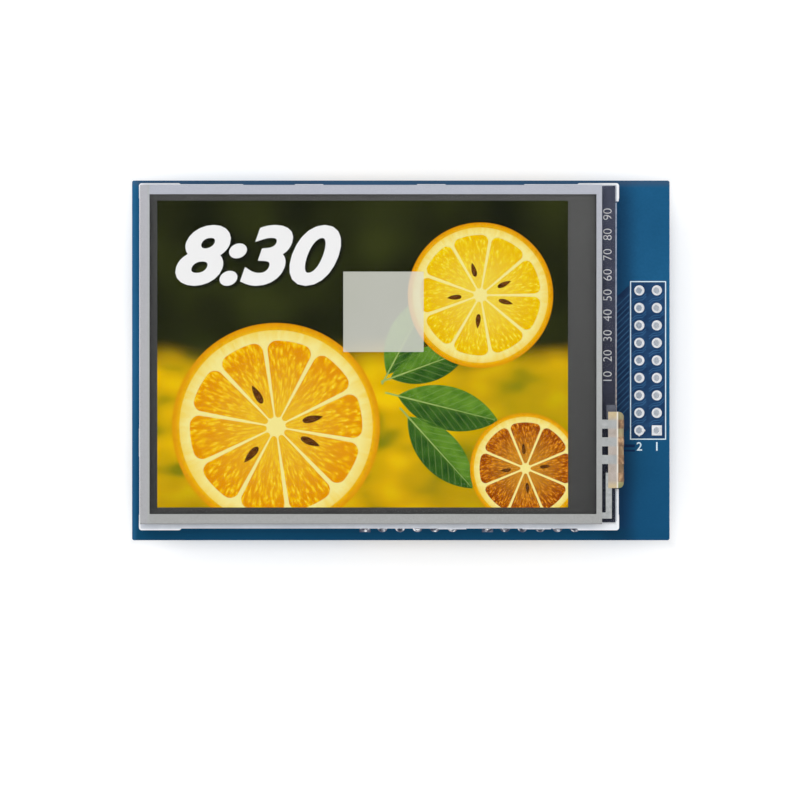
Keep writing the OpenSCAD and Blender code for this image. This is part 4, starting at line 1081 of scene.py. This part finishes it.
def bottom_tracks():
    """Covered tracks below the board: headers to chips, chips to card socket and expansion pads, and the supply."""
    tracks, vias = bmesh.new(), bmesh.new()

    def route(*points, width=0.16, size=0.4):
        track(tracks, chamfered(points, size), width, z_board - 0.014, z_board)

    def via(x, y):
        band(vias, circle(x, y, 0.12, 20), circle(x, y, 0.27, 20), z_land, z_board)

    lead_low, lead_high = box("buffer_chip_leads")
    leads = sorted({round(m.x, 3) for m in middles("buffer_chip_leads")})
    resistors = middles("chip_resistors")

    # each header's pins go by turns to a resistor and through the gap beside it, then on to the chip
    header_edge = box("digital_low_header_base")[0].y
    between = [m for m in resistors if m.y > lead_high.y]
    end_low, end_high = between[0].y - 0.75, between[0].y + 0.8
    for header, chip in (("digital_high", "buffer_chip_1"), ("digital_low", "buffer_chip_2")):
        chip_low, chip_high = box(chip)
        own = [m.x for m in between if abs(m.x - (chip_low.x + chip_high.x) / 2) < 6]
        own_leads = [x for x in leads if chip_low.x < x < chip_high.x]
        pitch = own[1] - own[0]
        for i, pin in enumerate(middles(header + "_header_pins")):
            through = i % 2 == 1
            x = own[i // 2] - (0 if through else pitch / 2)
            lead_x = own_leads[i + 1]
            rank = i if x > pin.x else 7 - i
            bend_y = end_high + 1.9 + 0.62 * rank
            if abs(x - pin.x) < 0.05:
                x = pin.x
            route((pin.x, header_edge + 0.3), (pin.x, bend_y), (x, bend_y), (x, end_high if through else end_low))
            rank = i if lead_x > x else 7 - i
            bend_y = lead_high.y + 0.3 + 0.2 * min(rank, 3)
            route((x, end_low), (x, bend_y), (lead_x, bend_y), (lead_x, lead_high.y - 0.1), width=0.12, size=0.14)

    # from the first chip to the card socket's resistors, and from those to its contacts
    chip_leads = [x for x in leads if x < box("buffer_chip_1")[1].x]
    socket_resistors = sorted((m for m in resistors if m.x < -20), key=lambda m: -m.y)
    for lead, resistor in zip((0, 1, 2, 7), socket_resistors):
        x = chip_leads[lead]
        route((x, lead_low.y + 0.1), (x, resistor.y), (resistor.x + 0.75, resistor.y))
    contacts = sorted(islands("card_socket_contacts"), key=lambda b: -b[0].y)
    for contact, resistor in zip((0, 2, 4, 6, 7), socket_resistors):
        low, high = contacts[contact]
        x, y = high.x, (low.y + high.y) / 2
        route((resistor.x - 0.75, resistor.y), (x + 0.45, resistor.y), (x + 0.45, y), (x - 0.1, y), size=0.3)

    # from the second chip round the transistor to the near column of expansion pads
    pads = middles("board_expansion_pads")
    column = min(p.x for p in pads)
    rows = sorted({round(p.y, 2) for p in pads})
    chip_leads = [x for x in leads if x > box("buffer_chip_2")[0].x]
    for k, lead in enumerate((0, 1, 2, 7, 8, 9)):
        x = chip_leads[lead]
        low_y, up_x = -16.5 + 0.6 * k, column - 2.2 - 0.6 * k
        route((x, lead_low.y + 0.1), (x, low_y), (up_x, low_y), (up_x, rows[k]), (column - 0.6, rows[k]), size=0.9)

    # supply: regulator to the tantalum capacitors, and from those to the power header
    caps = sorted(middles("tantalum_capacitors"), key=lambda m: m.y)
    cap_low, cap_high = box("tantalum_ends")
    tab = box("regulator_leads")[1]
    header_top = box("power_header_base")[1].y
    tab_x, past_y, before_x, end_x = tab.x - 0.35, tab.y + 0.55, cap_low.x - 0.7, cap_low.x + 0.2
    route((middle("regulator").x + 1, caps[0].y), (end_x, caps[0].y), width=1.0)
    route((tab_x, tab.y - 0.3), (tab_x, past_y), (before_x, past_y), (before_x, caps[1].y), (end_x, caps[1].y),
          width=0.5)
    for cap, pin in zip(caps, middles("power_header_pins")):
        route((cap_high.x - 0.2, cap.y), (pin.x, cap.y), (pin.x, header_top - 0.3), width=0.5, size=0.8)

    # short ends that change sides of the board
    for i, pin in enumerate(middles("analog_header_pins")):
        end = (pin.x, -20.4 + 0.7 * (i % 3))
        route((pin.x, header_top - 0.3), end)
        via(*end)
    for cap in middles("chip_capacitors"):
        if cap.x > 20:
            for side in (-1, 1):
                end = (cap.x + 2.1 * side, cap.y)
                route((cap.x + 0.6 * side, cap.y), end)
                via(*end)
    for x, y in ((-9.5, 7.5), (-8.4, 8.4), (2.2, 7.5), (3.3, 8.4), (16.0, 7.5), (17.1, 8.4), (18.2, 6.6)):
        via(x, y)
    add_piece("bottom_tracks", tracks, "bottom_track")
    add_piece("bottom_vias", vias, "tinned")


def tantalum_bars():
    """The dark bar that marks the positive end of each yellow capacitor."""
    shape = bmesh.new()
    for low, high in islands("tantalum_capacitors"):
        x0 = low.x + 0.3
        prism(shape, rectangle(x0, low.y + 0.25, x0 + 0.45, high.y - 0.25), low.z - 0.008, low.z + 0.02)
    add_piece("tantalum_bars", shape, "polarity_bar")


lands_and_fillets()
component_outlines()
bottom_tracks()
tantalum_bars()


# ---------------- floor, light and camera

def floor():
    """Plain pale floor that keeps the object's shadow, with a painted shadow under the board where its glow fades out;
    where nothing shades it, it shows white.
    """
    g = Graph("pale_floor", Base_Color=(0.9, 0.9, 0.9, 1), Roughness=0.9, Specular_IOR_Level=0.0,
              Emission_Color=(1, 1, 1, 1))
    seen = g.rays("Is Camera Ray", "Is Transmission Ray")
    x, y, z = g.mm()
    # painted shadow: the floor's glow fades out under the board
    beyond = g.highest(g.minus(g.absolute(x), board_high.x), g.minus(g.absolute(y), board_high.y))
    g.put(g.shader, {"Emission_Strength": g.times(seen, g.ease(beyond, -1.5, 2.5, 0.0, 0.36))})
    # clear from below, so that the underside shows, and clear to the studio light that the underside gets
    share = g.highest(g.add("NewGeometry", {}).outputs["Backfacing"], g.minus(1.0, seen))
    clear = g.add("BsdfTransparent", {}).outputs[0]
    either = g.add("MixShader", {0: share, 1: g.shader.outputs[0], 2: clear}).outputs[0]
    g.put(g.tree.nodes["Material Output"], {"Surface": either})
    reach = 900
    shape = bmesh.new()
    shape.faces.new(ring(shape, rectangle(-reach, -reach, reach, reach), -0.02))
    obj = mesh_object("floor", shape, g.block)


def world():
    """Even studio light; the camera, metal and glass see it as plain white."""
    studio = bpy.data.worlds.new("studio")
    bpy.context.scene.world = studio
    g = Graph(studio, "Background", Color=(1, 1, 1, 1))
    seen = g.rays("Is Camera Ray", "Is Glossy Ray", "Is Transmission Ray")
    g.put(g.shader, {"Strength": g.remap(seen, 0.0, 1.0, 0.93, 1.0)})


def lamp(name, place, aim, size, power):
    obj = new_object(name, having(bpy.data.lights.new(name, "AREA"), shape="DISK", size=size, energy=power))
    obj.location = place
    obj.rotation_euler = (Vector(aim) - Vector(place)).to_track_quat("-Z", "Y").to_euler()


def camera():
    """Straight above the module, a little below its middle, as the photograph was taken."""
    data = bpy.data.cameras.new("camera")
    obj = new_object("camera", having(data, lens=200, sensor_width=36, clip_start=0.01, clip_end=20))
    height = 645
    obj.location = (-0.12 * MM, -5.75 * MM, (z_board_top + height) * MM)
    bpy.context.scene.camera = obj


floor()
world()
lamp("soft_key", (-0.35, 0.3, 0.6), (0, 0, 0), 0.4, 0.8)
camera()
bpy.context.scene.view_settings.view_transform = "Standard"
